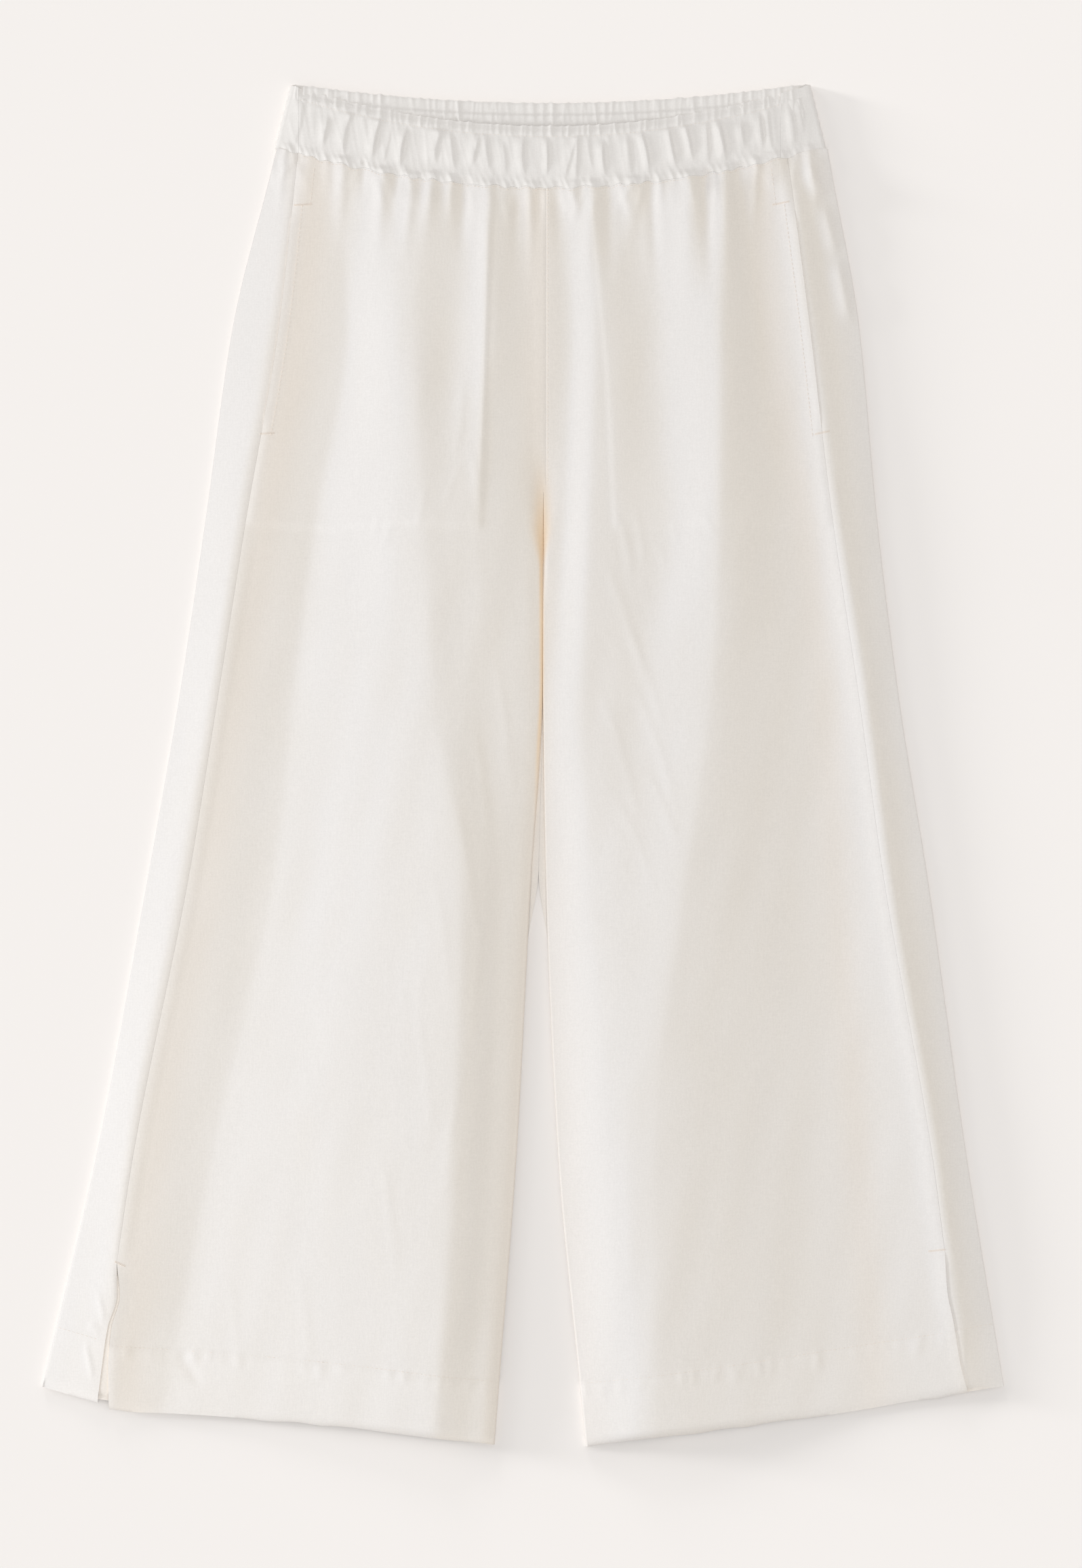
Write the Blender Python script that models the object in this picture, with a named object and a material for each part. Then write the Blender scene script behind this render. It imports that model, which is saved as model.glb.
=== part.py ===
"""Pull-on culottes in off-white linen, laid flat with the front facing up.

Frame: +X to the wearer's left, +Y towards the waist, +Z up from the surface they lie on.
The two back panels rest on z = 0, wrap round the sides of the legs and come up to the
outseams on the upper face, where the front panels meet them. An elastic casing in two
pieces closes the top, and a flat pocket bag hangs inside each side.

Every piece is one closed wall of cloth. Its sections are worked out from the fold tables:
each row is one line that runs down the leg (a seam, a crest or a trough), with its place
across and its height above the surface at seven named stations.
"""
import math

import bpy
from mathutils import Vector

MM = 0.001

# ---- cloth ---------------------------------------------------------------------------
CLOTH = 1.4              # wall of one panel
HEM_WALL = 2.2           # the hem, where the panel is turned up on itself
BAG_WALL = 1.2           # the two thin plies of a pocket bag
BAND_WALL = 3.2          # casing cloth on both sides of the elastic
SEAM_GAP = 0.3           # between pieces that are sewn together
HEM_DEPTH = 43.0         # turned-up hem
STEP = 0.6               # half of the run in which the hem's thickness changes

# ---- stations down the leg: Y of each ------------------------------------------------
STATIONS = {"waist": 397.0, "hip": 293.0, "crotch": 166.0, "thigh": 44.0,
            "knee": -78.0, "calf": -259.0, "hem": -421.0}

# ---- folds of the upper face: line, X at the stations, Z at the stations --------------
FOLDS_RIGHT = [
    #  line             waist    hip  crotch   thigh    knee    calf     hem
    ("inner edge",   (  15.1,   15.1,   13.5,   12.8,    5.6,   -4.0,  -16.3),
                     (  11.0,   12.5,    4.5,    3.4,    3.4,    4.0,    5.2)),
    ("inner shoulder", ( -0.5,   4.0,    2.0,    6.0,    0.5,   -9.5,  -21.2),
                     (  11.5,   13.2,   15.0,    6.5,    5.8,    5.8,    7.0)),
    ("bag edge",     ( -20.8,  -23.0,  -32.0,  -25.3,  -16.3,  -23.0,  -34.4),
                     (  13.8,   19.8,   22.3,   13.8,   10.5,    9.6,   10.5)),
    ("bag trough",   ( -37.5,  -43.0,  -48.8,  -42.0,  -29.8,  -36.6,  -47.9),
                     (  12.0,   15.2,   22.0,   16.2,   15.2,   13.7,   14.5)),
    ("main crest",   ( -59.0,  -72.0,  -66.0,  -59.0,  -41.0,  -46.6,  -57.0),
                     (  14.6,   19.8,   24.2,   18.0,   18.6,   16.6,   17.3)),
    ("outer shoulder", (-77.0, -82.0,  -82.0,  -82.0,  -88.6, -122.5, -109.0),
                     (  13.0,   19.3,   22.6,   17.0,   17.8,   14.8,   15.6)),
    ("side trough",  (-130.6, -121.0, -142.8, -153.0, -166.8, -207.0, -237.8),
                     (   9.0,    9.3,    9.0,    5.5,    5.2,    5.0,    6.0)),
    ("seam crest",   (-151.0, -162.3, -184.0, -203.4, -223.3, -259.5, -276.2),
                     (  10.5,   13.7,   13.4,   11.2,   11.0,   10.8,   11.6)),
    ("outer edge",   (-167.7, -193.5, -211.5, -229.6, -250.9, -284.3, -322.3),
                     (   7.0,    7.0,    7.0,    7.0,    7.0,    7.0,    7.0)),
]
FOLDS_LEFT = [
    ("inner edge",   (  15.4,   15.4,   14.3,   14.2,   15.4,   23.5,   38.9),
                     (  11.0,   12.5,    4.5,    3.4,    3.4,    4.0,    5.2)),
    ("inner trough", (  23.0,   28.0,   21.0,   20.0,   21.2,   29.4,   43.8),
                     (   9.5,   11.2,    9.0,    6.3,    6.0,    6.2,    7.2)),
    ("inner crest",  (  47.0,   49.3,   44.7,   41.1,   44.7,   56.0,   65.1),
                     (  12.0,   15.5,   18.0,   12.0,   13.3,   15.2,   15.0)),
    ("bag edge",     (  51.5,   57.0,   60.0,   58.0,   60.0,   64.0,   71.0),
                     (  11.2,   14.6,   15.9,   11.2,   14.9,   16.8,   16.6)),
    ("bag trough",   (  60.6,   88.0,   92.0,   74.0,   76.4,   71.9,   76.4),
                     (  10.0,   10.3,   13.2,   10.6,   16.0,   18.0,   18.0)),
    ("main crest",   ( 132.9,  131.5,  131.0,  125.2,  108.0,   87.7,   87.7),
                     (  13.0,   20.0,   21.0,   16.9,   19.7,   19.8,   19.0)),
    ("side trough",  ( 160.0,  171.3,  191.2,  202.5,  209.7,  224.2,  235.5),
                     (   8.5,    9.9,    9.0,    5.5,    5.3,    5.0,    6.0)),
    ("seam crest",   ( 180.3,  192.1,  212.0,  231.9,  247.2,  278.4,  297.9),
                     (   9.5,   13.0,   12.6,   10.4,   10.4,   10.0,   12.0)),
    ("wrap trough",  ( 190.0,  210.0,  223.3,  238.2,  256.3,  284.3,  306.9),
                     (   7.6,    7.2,   10.2,    9.3,    9.0,    8.8,    9.5)),
    ("outer edge",   ( 206.1,  224.6,  236.4,  251.3,  270.7,  296.0,  322.3),
                     (   7.0,    7.0,    7.0,    7.0,    7.0,    7.0,    7.0)),
]

# ---- outseams down to the slit, and the two edges of the slit below it: (Y, X) ------------
OUTSEAM_RIGHT = [(397.0, -151.0), (293.0, -162.3), (166.0, -184.0), (44.0, -203.4),
                 (-78.0, -223.3), (-259.0, -259.5), (-332.0, -270.6)]
SLIT_FRONT_RIGHT = [(-332.0, -270.6), (-354.0, -268.5), (-376.0, -274.2), (-403.0, -276.5),
                    (-431.0, -276.2)]
SLIT_BACK_RIGHT = [(-332.0, -270.6), (-372.0, -280.7), (-426.0, -287.0)]
OUTSEAM_LEFT = [(397.0, 177.6), (293.0, 191.2), (166.0, 206.1), (44.0, 224.2),
                (-78.0, 240.9), (-259.0, 272.6), (-323.0, 281.1)]
SLIT_FRONT_LEFT = [(-323.0, 281.1), (-351.0, 283.0), (-372.0, 287.2), (-401.0, 292.0),
                   (-419.0, 297.0)]
SLIT_BACK_LEFT = [(-323.0, 281.1), (-372.0, 291.5), (-419.0, 302.5)]

# ---- hems: (X, Y) of the front panel, and of the back panel below and on the upper face ---
HEM_FRONT_RIGHT = [(-276.0, -431.0), (-140.0, -440.0), (-16.0, -453.5)]
HEM_FRONT_LEFT = [(39.0, -454.5), (149.0, -440.5), (297.0, -418.5)]
HEM_BACK_RIGHT = [(-322.0, -415.5), (-180.0, -433.0), (-16.0, -453.0)]
HEM_BACK_LEFT = [(39.0, -454.0), (180.0, -434.0), (322.0, -414.5)]
HEM_WRAP_RIGHT = [(-322.0, -415.5), (-287.0, -425.5)]
HEM_WRAP_LEFT = [(302.5, -417.0), (322.0, -414.5)]

# ---- waist: each edge dips from its height at the sides: dip of the back, of the front ---
WAIST_CENTRE = 17.5      # X of the middle of the waist
WAIST_HALF = 180.0       # half of its width as it lies
SEAM_SIDE_Y, SEAM_DIPS = 411.0, (10.0, 27.0)
TOP_SIDE_Y, TOP_DIPS = 455.8, (14.2, 30.2)
BAND_EDGES = {"right": (-165.5, -155.0), "left": (200.5, 191.5)}   # X low, X high
BAND_SEAMS = {"right": -149.5, "left": 171.8}                       # casing side seams
BAND_SIDE_Z = 8.4        # top of the casing at its sides
BAND_RISE = (4.6, 6.2)   # how much higher it stands in the middle, low edge and top edge
GATHER_RUN = 32.0        # length in which a panel comes up to the casing
BAG_FOOT_Y = 159.0       # straight lower edge of the pocket bags
RUFFLES = 23             # soft folds across the front casing
RUFFLE_HEIGHT = 1.1
RUFFLE_WANDER = 2.6
RUFFLE_LEAN = 0.10       # how far the folds fan out towards the sides, of their X
BAND_ROWS = ((0.0, 0.3), (0.12, 0.35), (0.5, 1.0), (0.8, 0.4), (1.0, 0.6))

# ---- mesh --------------------------------------------------------------------------------
HIP_ROWS = 6             # from the waist seam to the foot of the pocket bags
SHIN_ROWS = 11           # from there to the slit top
FLOOR_COLUMNS = 6
ROLL_STEPS = 4


def slopes(stops, values):
    """Slopes of the cubic through the values that never overshoots them."""
    runs = [b - a for a, b in zip(stops, stops[1:])]
    rises = [(b - a) / run for a, b, run in zip(values, values[1:], runs)]
    inner = [0.0 if a * b <= 0 else 2 * a * b / (a + b) for a, b in zip(rises, rises[1:])]
    return [rises[0], *inner, rises[-1]]


def through(stops, values, at):
    """Value at one place of the smooth curve through (stop, value), straight past its ends."""
    slope = slopes(stops, values)
    if at <= stops[0]:
        return values[0] + slope[0] * (at - stops[0])
    if at >= stops[-1]:
        return values[-1] + slope[-1] * (at - stops[-1])
    span = next(i for i in range(len(stops) - 1) if at <= stops[i + 1])
    run = stops[span + 1] - stops[span]
    t = (at - stops[span]) / run
    return (values[span] * (1 + 2 * t) * (1 - t) ** 2 + slope[span] * run * t * (1 - t) ** 2
            + values[span + 1] * t * t * (3 - 2 * t) + slope[span + 1] * run * t * t * (t - 1))


def curve(points, at):
    """The same through a list of (stop, value) points, in any order."""
    points = sorted(points)
    return through([p[0] for p in points], [p[1] for p in points], at)


def mix(a, b, t):
    return a + (b - a) * t


def ease(t):
    t = min(max(t, 0.0), 1.0)
    return t * t * (3 - 2 * t)


# ---- the waist's edges --------------------------------------------------------------------
def middling(x):
    """1 in the middle of the waist and 0 at its sides."""
    return max(1 - ((x - WAIST_CENTRE) / WAIST_HALF) ** 2, 0.0)


def seam_y(x, layer):
    """Waist seam: layer 0 is the back on the floor, 1 the upper face."""
    return SEAM_SIDE_Y - mix(*SEAM_DIPS, layer) * middling(x)


def top_y(x, layer):
    """Top edge of the casing, by the same layers."""
    return TOP_SIDE_Y - mix(*TOP_DIPS, layer) * middling(x)


def band_height(x, up):
    """Top surface of the casing before its ruffles, up 0 at its low edge and 1 at its top."""
    return BAND_SIDE_Z + mix(*BAND_RISE, up) * middling(x)


# ---- the upper face of a leg ----------------------------------------------------------------
class Leg:
    """One leg: its fold lines, its outseam and its hems."""

    def __init__(self, side, folds, outseam, slit_edges, hem_front, hem_back, hem_wrap):
        self.side = side
        self.outward = -1 if side == "right" else 1
        self.names = [name for name, _, _ in folds]
        self.across = [list(reversed(xs)) for _, xs, _ in folds]
        self.heights = [list(reversed(zs)) for _, _, zs in folds]
        self.stops = list(reversed(STATIONS.values()))
        self.outseam, self.slit_edges = outseam, slit_edges
        self.slit_y = outseam[-1][0]
        self.hem_front, self.hem_back, self.hem_wrap = hem_front, hem_back, hem_wrap

    def line_x(self, line, y):
        return through(self.stops, self.across[line], y)

    def surface(self, x, y):
        """Height of the upper face at a place, drawn up to the casing near the waist."""
        places = sorted((self.line_x(i, y), through(self.stops, self.heights[i], y))
                        for i in range(len(self.names)))
        laid = through([p[0] for p in places], [p[1] for p in places], x)
        return mix(band_height(x, 0.0), laid, ease((seam_y(x, 1.0) - y) / GATHER_RUN))

    def edge_radius(self, y):
        """Radius of the soft turn where the back panel wraps round the side."""
        return 0.5 * self.surface(self.line_x(-1, y), y)

    def seam_x(self, y, panel):
        """X of a panel's edge at the outseam, the gap left out."""
        edge = self.outseam if y >= self.slit_y else self.slit_edges[panel]
        away = -self.outward if panel == "front" else self.outward
        return curve(edge, y) + away * SEAM_GAP / 2


RIGHT = Leg("right", FOLDS_RIGHT, OUTSEAM_RIGHT,
            {"front": SLIT_FRONT_RIGHT, "back": SLIT_BACK_RIGHT},
            HEM_FRONT_RIGHT, HEM_BACK_RIGHT, HEM_WRAP_RIGHT)
LEFT = Leg("left", FOLDS_LEFT, OUTSEAM_LEFT,
           {"front": SLIT_FRONT_LEFT, "back": SLIT_BACK_LEFT},
           HEM_FRONT_LEFT, HEM_BACK_LEFT, HEM_WRAP_LEFT)


# ---- solids --------------------------------------------------------------------------------
def linen(name, colour, roughness):
    material = bpy.data.materials.new(name)
    material.use_nodes = True
    shader = material.node_tree.nodes["Principled BSDF"]
    shader.inputs["Base Color"].default_value = (*colour, 1.0)
    shader.inputs["Roughness"].default_value = roughness
    shader.inputs["Metallic"].default_value = 0.0
    return material


def cloth_wall(name, outer, inner, material, collection):
    """A closed wall between two grids of points, [row][column], in millimetres."""
    rows, columns = len(outer), len(outer[0])
    points = [Vector(p) * MM for grid in (outer, inner) for row in grid for p in row]
    under = rows * columns

    def at(row, column, side):
        return side * under + row * columns + column

    faces = []
    for row in range(rows - 1):
        for column in range(columns - 1):
            near, far = (row, column), (row + 1, column + 1)
            for side_corner in ((row, column + 1), (row + 1, column)):
                corners = [near, side_corner, far]
                order = corners if side_corner[0] == row else corners[::-1]
                faces.append([at(*c, 0) for c in order])
                faces.append([at(*c, 1) for c in reversed(order)])
    rim = ([(0, c) for c in range(columns)] + [(r, columns - 1) for r in range(1, rows)]
           + [(rows - 1, c) for c in range(columns - 2, -1, -1)]
           + [(r, 0) for r in range(rows - 2, 0, -1)])
    for a, b in zip(rim, rim[1:] + rim[:1]):
        faces.append([at(*b, 0), at(*a, 0), at(*a, 1), at(*b, 1)])

    mesh = bpy.data.meshes.new(name)
    mesh.from_pydata(points, [], faces)
    if signed_volume(mesh) < 0:
        mesh.flip_normals()
    mesh.materials.append(material)
    mesh.shade_smooth()
    mesh.set_sharp_from_angle(angle=math.radians(50))
    piece = bpy.data.objects.new(name, mesh)
    collection.objects.link(piece)
    return piece


def signed_volume(mesh):
    """Six times the volume inside the faces: below nought when they point inwards."""
    mesh.calc_loop_triangles()
    points = mesh.vertices
    return sum(points[a].co.dot(points[b].co.cross(points[c].co))
               for a, b, c in (t.vertices for t in mesh.loop_triangles))


def leg_rows(leg):
    """Rows down a leg as (stage, share, wall), share the way down that stage.

    Both panels share the rows above the slit, so their edges match at the outseam.
    The hem is turned up on itself, which thickens the wall over a short step.
    """
    reach = leg.slit_y - leg.slit_edges["front"][-1][0]
    fold, step = 1 - HEM_DEPTH / reach, STEP / reach
    hip = [("hip", i / HIP_ROWS, CLOTH) for i in range(HIP_ROWS)]
    shin = [("leg", i / SHIN_ROWS, CLOTH) for i in range(SHIN_ROWS)]
    slit = [("slit", share, CLOTH) for share in (0.0, 0.5 * fold, fold - step)]
    return hip + shin + slit + [("slit", fold + step, HEM_WALL), ("slit", 1.0, HEM_WALL)]


def settle(leg, row, place, layer, hem):
    """A point of a row: X comes from its fold line, Y from the row, each from the other."""
    stage, share, _ = row
    y = leg.slit_y
    for _ in range(4):
        x = place(y)
        ends = {"hip": (seam_y(x, layer) - SEAM_GAP / 2, BAG_FOOT_Y),
                "leg": (BAG_FOOT_Y, leg.slit_y),
                "slit": (leg.slit_y, curve(hem, x))}
        y = mix(*ends[stage], share)
    return x, y


def front_columns(leg):
    """Columns of a front panel as (fold line, share of the way to the next one)."""
    spans = leg.names.index("seam crest")
    return [(i, half) for i in range(spans) for half in (0.0, 0.5)] + [(spans, 0.0)]


def front_panel(leg, material, collection):
    """From the centre front and the inseam out to the outseam, over the folds."""
    spans = leg.names.index("seam crest")
    outer, inner = [], []
    for row in leg_rows(leg):
        wall = row[2]
        top_row, under_row = [], []
        for line, half in front_columns(leg):
            def place(y):
                last = line + 1 >= spans
                b = leg.seam_x(y, "front") if last else leg.line_x(line + 1, y)
                return b if line == spans else mix(leg.line_x(line, y), b, half)
            x, y = settle(leg, row, place, 1.0, leg.hem_front)
            z = leg.surface(x, y)
            top_row.append((x, y, z))
            under_row.append((x, y, z - wall))
        outer.append(top_row)
        inner.append(under_row)
    cloth_wall("front_" + leg.side, outer, inner, material, collection)
    return outer


def back_panel(leg, material, collection):
    """From the inseam over the floor, round the side and back to the outseam on top."""
    crest = leg.names.index("seam crest")
    tops = [(line, half) for line in range(len(leg.names) - 1, crest, -1) for half in (0.0, 0.5)]
    outer, inner = [], []
    for row in leg_rows(leg):
        wall = row[2]
        outside, inside = [], []
        for step in range(FLOOR_COLUMNS + 1):
            def place(y):
                edge = leg.line_x(-1, y) - leg.outward * leg.edge_radius(y)
                return mix(leg.line_x(0, y), edge, step / FLOOR_COLUMNS)
            x, y = settle(leg, row, place, 0.0, leg.hem_back)
            outside.append((x, y, 0.0))
            inside.append((x, y, wall))
        for step in range(1, ROLL_STEPS):
            turn = step / ROLL_STEPS
            x, y = settle(leg, row, lambda y: leg.line_x(-1, y), turn, leg.hem_wrap)
            radius = leg.edge_radius(y)
            centre = x - leg.outward * radius
            angle = math.pi * (turn - 0.5)
            for side, reach in ((outside, radius), (inside, radius - wall)):
                side.append((centre + leg.outward * reach * math.cos(angle), y,
                             radius + reach * math.sin(angle)))
        for line, half in tops + [(crest, 0.0)]:
            def place(y):
                seam = leg.seam_x(y, "back")
                edge = leg.line_x(-1, y) - leg.outward * leg.edge_radius(y)
                a = edge if line == len(leg.names) - 1 else leg.line_x(line, y)
                b = seam if line - 1 <= crest else leg.line_x(line - 1, y)
                x = seam if line == crest else mix(a, b, half)
                beyond = leg.outward * (x - seam)
                return x if beyond >= 0 else seam
            x, y = settle(leg, row, place, 1.0, leg.hem_wrap)
            z = leg.surface(x, y)
            if line == len(leg.names) - 1 and half == 0.0:
                z = 2 * leg.edge_radius(y)
            outside.append((x, y, z))
            inside.append((x, y, z - wall))
        outer.append(outside)
        inner.append(inside)
    return cloth_wall("back_" + leg.side, outer, inner, material, collection)


def pocket_bag(leg, panel_top, first, material, collection):
    """A flat bag of two plies under the front panel: the panel's own points, moved down."""
    drop = CLOTH + SEAM_GAP
    grid = [row[first:] for row in panel_top[:HIP_ROWS + 1]]
    outer = [[(x, y, z - drop) for x, y, z in row] for row in grid]
    inner = [[(x, y, z - drop - BAG_WALL) for x, y, z in row] for row in grid]
    return cloth_wall("pocket_bag_" + leg.side, outer, inner, material, collection)


# ---- casing ----------------------------------------------------------------------------------
def ruffle_places(start, end, count):
    """X of each crest and each trough of the ruffles, unevenly spaced, rising."""
    pitch = (end - start) / (2 * count)
    inner = [start + pitch * i + RUFFLE_WANDER * math.sin(2.4 * i) for i in range(1, 2 * count)]
    return [start, *inner, end]


def ruffle(index, count, strength):
    """Height of a ruffle: odd places are crests, and no two are alike."""
    if index in (0, 2 * count):
        return 0.0
    size = RUFFLE_HEIGHT * (0.75 + 0.35 * math.sin(1.7 * index))
    return strength * size * (1 if index % 2 else -0.4)


def front_band(material, collection):
    """Front half of the casing, between its side seams."""
    ends = (BAND_SEAMS["right"] + SEAM_GAP / 2, BAND_SEAMS["left"] - SEAM_GAP / 2)
    outer, inner = [], []
    for up, strength in BAND_ROWS:
        top_row, under_row = [], []
        for index, x in enumerate(ruffle_places(*ends, RUFFLES)):
            fan = ease(min(x - ends[0], ends[1] - x) / 40)
            x -= RUFFLE_LEAN * (x - WAIST_CENTRE) * (up - 0.5) * fan
            y = mix(seam_y(x, 1.0) + SEAM_GAP / 2, top_y(x, 1.0), up)
            z = band_height(x, up) + ruffle(index, RUFFLES, strength)
            top_row.append((x, y, z))
            under_row.append((x, y, z - BAND_WALL))
        outer.append(top_row)
        inner.append(under_row)
    return cloth_wall("waistband_front", outer, inner, material, collection)


def band_section(up, strength):
    """Outer and inner points of the back casing: up one side, along the floor, up the other."""
    edges = {side: mix(*BAND_EDGES[side], up) for side in BAND_EDGES}
    outside, inside = [], []

    def add(x, layer, z_out, x_in, z_in):
        ys = mix(seam_y(x, layer) + SEAM_GAP / 2, top_y(x, layer), up)
        outside.append((x, ys, z_out))
        inside.append((x_in, ys, z_in))

    def turned(side, outward, order):
        """The part on the upper face and the turn round the side."""
        radius = 0.5 * BAND_SIDE_Z
        centre = edges[side] - outward * radius
        seam = BAND_SEAMS[side] + outward * SEAM_GAP / 2
        points = []
        for share in (0.0, 0.5, 1.0):
            x = mix(seam, centre, share)
            z = mix(band_height(x, up), 2 * radius, share)
            points.append((x, 1.0, z, x, z - BAND_WALL))
        for step in range(1, ROLL_STEPS):
            turn = step / ROLL_STEPS
            angle = math.pi * (0.5 - turn)
            far = radius - BAND_WALL
            points.append((centre + outward * radius * math.cos(angle), 1 - turn,
                           radius + radius * math.sin(angle),
                           centre + outward * far * math.cos(angle),
                           radius + far * math.sin(angle)))
        for point in points[::order]:
            add(*point)

    turned("right", -1, 1)
    start = edges["right"] + 0.5 * BAND_SIDE_Z
    end = edges["left"] - 0.5 * BAND_SIDE_Z
    for index, x in enumerate(ruffle_places(start, end, RUFFLES)):
        add(x, 0.0, 0.0, x, BAND_WALL + 0.4 * ruffle(index, RUFFLES, strength))
    turned("left", 1, -1)
    return outside, inside


def back_band(material, collection):
    """Back half of the casing: flat on the floor, its ends turned up to the side seams."""
    sections = [band_section(up, strength) for up, strength in BAND_ROWS]
    return cloth_wall("waistband_back", [s[0] for s in sections], [s[1] for s in sections],
                      material, collection)


def main():
    for old in list(bpy.data.objects):
        bpy.data.objects.remove(old, do_unlink=True)
    collection = bpy.data.collections.new("culottes")
    bpy.context.scene.collection.children.link(collection)

    body = linen("linen body", (0.80, 0.76, 0.70), 0.85)
    casing = linen("linen casing", (0.72, 0.70, 0.66), 0.85)
    bagging = linen("linen pocket bag", (0.78, 0.74, 0.68), 0.85)
    for leg in (RIGHT, LEFT):
        panel_top = front_panel(leg, body, collection)
        back_panel(leg, body, collection)
        first = front_columns(leg).index((leg.names.index("bag edge"), 0.0))
        pocket_bag(leg, panel_top, first, bagging, collection)
    front_band(casing, collection)
    back_band(casing, collection)


main()
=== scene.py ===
# %% [markdown]
# # Linen culottes, laid flat
#
# Wide-legged pull-on culottes in off-white linen, lying face up on a pale table. The
# construction model gives every cut piece at its real size: two fronts, two backs, two
# pocket bags and the two halves of the elastic casing. Here each of those plain walls is
# replaced by a thin shell of cloth with its folds, gathers, seams and stitches.
#
# All the work is done in millimetres and turned to metres when a mesh is made.

# %% The frame
import math

import bpy
import numpy as np
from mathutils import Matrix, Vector


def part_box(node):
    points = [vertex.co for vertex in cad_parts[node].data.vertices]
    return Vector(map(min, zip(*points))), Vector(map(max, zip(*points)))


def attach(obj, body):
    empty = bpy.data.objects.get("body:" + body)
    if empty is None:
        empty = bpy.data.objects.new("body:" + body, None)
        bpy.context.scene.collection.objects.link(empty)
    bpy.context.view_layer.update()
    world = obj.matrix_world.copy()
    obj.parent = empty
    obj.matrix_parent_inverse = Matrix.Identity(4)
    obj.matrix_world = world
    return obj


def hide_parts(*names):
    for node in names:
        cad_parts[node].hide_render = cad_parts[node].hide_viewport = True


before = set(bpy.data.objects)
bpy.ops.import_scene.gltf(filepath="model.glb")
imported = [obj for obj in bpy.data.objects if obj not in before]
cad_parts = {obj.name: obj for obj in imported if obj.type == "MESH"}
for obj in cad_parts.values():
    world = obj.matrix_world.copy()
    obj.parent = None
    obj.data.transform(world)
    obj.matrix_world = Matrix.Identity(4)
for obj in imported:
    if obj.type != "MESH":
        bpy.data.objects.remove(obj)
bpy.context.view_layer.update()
MM = 0.001
SIDES = {"right": -1, "left": 1}           # the wearer's sides, and where each lies along X


def reach(node):
    """Lowest and highest corner of a construction piece, in millimetres."""
    low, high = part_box(node)
    return np.array(low) / MM, np.array(high) / MM


band_low, band_high = reach("waistband_back")
print("pieces:", ", ".join(sorted(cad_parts)))
print("casing from", band_low.round(1), "to", band_high.round(1), "mm")

# %% [markdown]
# ## Smooth curves through a few numbers
#
# Every edge and every fold is known at a few stations only. A cubic through those numbers
# gives the rest. The slope at each number is the harmonic mean of the slopes beside it,
# which never overshoots, so a crest stays where the table says. A fold may also be crisp:
# then its two flanks keep their own slopes and meet in a crease.

# %% Curves


def mix(a, b, t):
    """From a to b as t goes from 0 to 1."""
    return a + (b - a) * t


def ease(t):
    """0 up to 0, 1 from 1 on, and a soft start and stop between."""
    t = np.clip(t, 0.0, 1.0)
    return t * t * (3 - 2 * t)


def between(at, low, high, soft):
    """1 between two limits and 0 outside them, eased over soft."""
    return ease((at - low) / soft) * ease((high - at) / soft)


def bell(off, width):
    """1 on a line, falling away softly on both sides of it."""
    return np.exp(-(off / width) ** 2)


def cubic(stops, values, at, crisp=0.0):
    """The curve through (stop, value), stops rising; straight past its ends."""
    stops, values, at = np.asarray(stops, float), np.asarray(values, float), np.asarray(at, float)
    run = np.diff(stops)
    rise = np.diff(values) / run
    before, after = np.r_[rise[0], rise], np.r_[rise, rise[-1]]
    total = before + after
    smooth = np.where(before * after > 0, 2 * before * after / np.where(total == 0, 1, total), 0.0)
    smooth[0], smooth[-1] = rise[0], rise[-1]
    arriving, leaving = mix(smooth, before, crisp), mix(smooth, after, crisp)
    span = np.clip(np.searchsorted(stops, at) - 1, 0, len(run) - 1)
    held = np.clip(at, stops[0], stops[-1])
    t = (held - stops[span]) / run[span]
    curve = (values[span] * (1 + 2 * t) * (1 - t) ** 2
             + leaving[span] * run[span] * t * (1 - t) ** 2
             + values[span + 1] * t * t * (3 - 2 * t)
             + arriving[span + 1] * run[span] * t * t * (t - 1))
    return curve + np.where(at < held, rise[0], rise[-1]) * (at - held)


def line(points, at):
    """The same through a short list of (stop, value) pairs in any order."""
    points = sorted(points)
    return cubic([p[0] for p in points], [p[1] for p in points], at)


# %% [markdown]
# ## The cut
#
# The outline of each panel: seams and slits run down the leg, hems run across it, and the
# waist edges dip in the middle because the elastic draws the sides up. Each list has only
# the places where the edge changes direction.

# %% Outline
STATIONS = (397.0, 293.0, 166.0, 44.0, -78.0, -259.0, -421.0)
HEM_DEPTH = 43.0
SLIT_TOP = {"right": -332.0, "left": -323.0}
OUTSEAM = {
    "right": [(397.0, -151.0), (293.0, -162.3), (166.0, -184.0), (44.0, -203.4),
              (-78.0, -223.3), (-259.0, -259.5), (-332.0, -270.6)],
    "left": [(397.0, 177.6), (293.0, 191.2), (166.0, 206.1), (44.0, 224.2),
             (-78.0, 240.9), (-259.0, 272.6), (-323.0, 281.1)]}
SLIT_EDGE = {
    ("front", "right"): [(-332.0, -270.6), (-354.0, -268.5), (-376.0, -274.2),
                         (-403.0, -276.5), (-431.0, -276.2)],
    ("back", "right"): [(-332.0, -270.6), (-354.0, -270.4), (-376.0, -276.8),
                        (-403.0, -280.8), (-426.0, -283.8)],
    ("front", "left"): [(-323.0, 281.1), (-351.0, 283.0), (-372.0, 287.2),
                        (-401.0, 292.0), (-419.0, 297.0)],
    ("back", "left"): [(-323.0, 281.1), (-351.0, 280.5), (-372.0, 283.5), (-419.0, 293.0)]}
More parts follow.
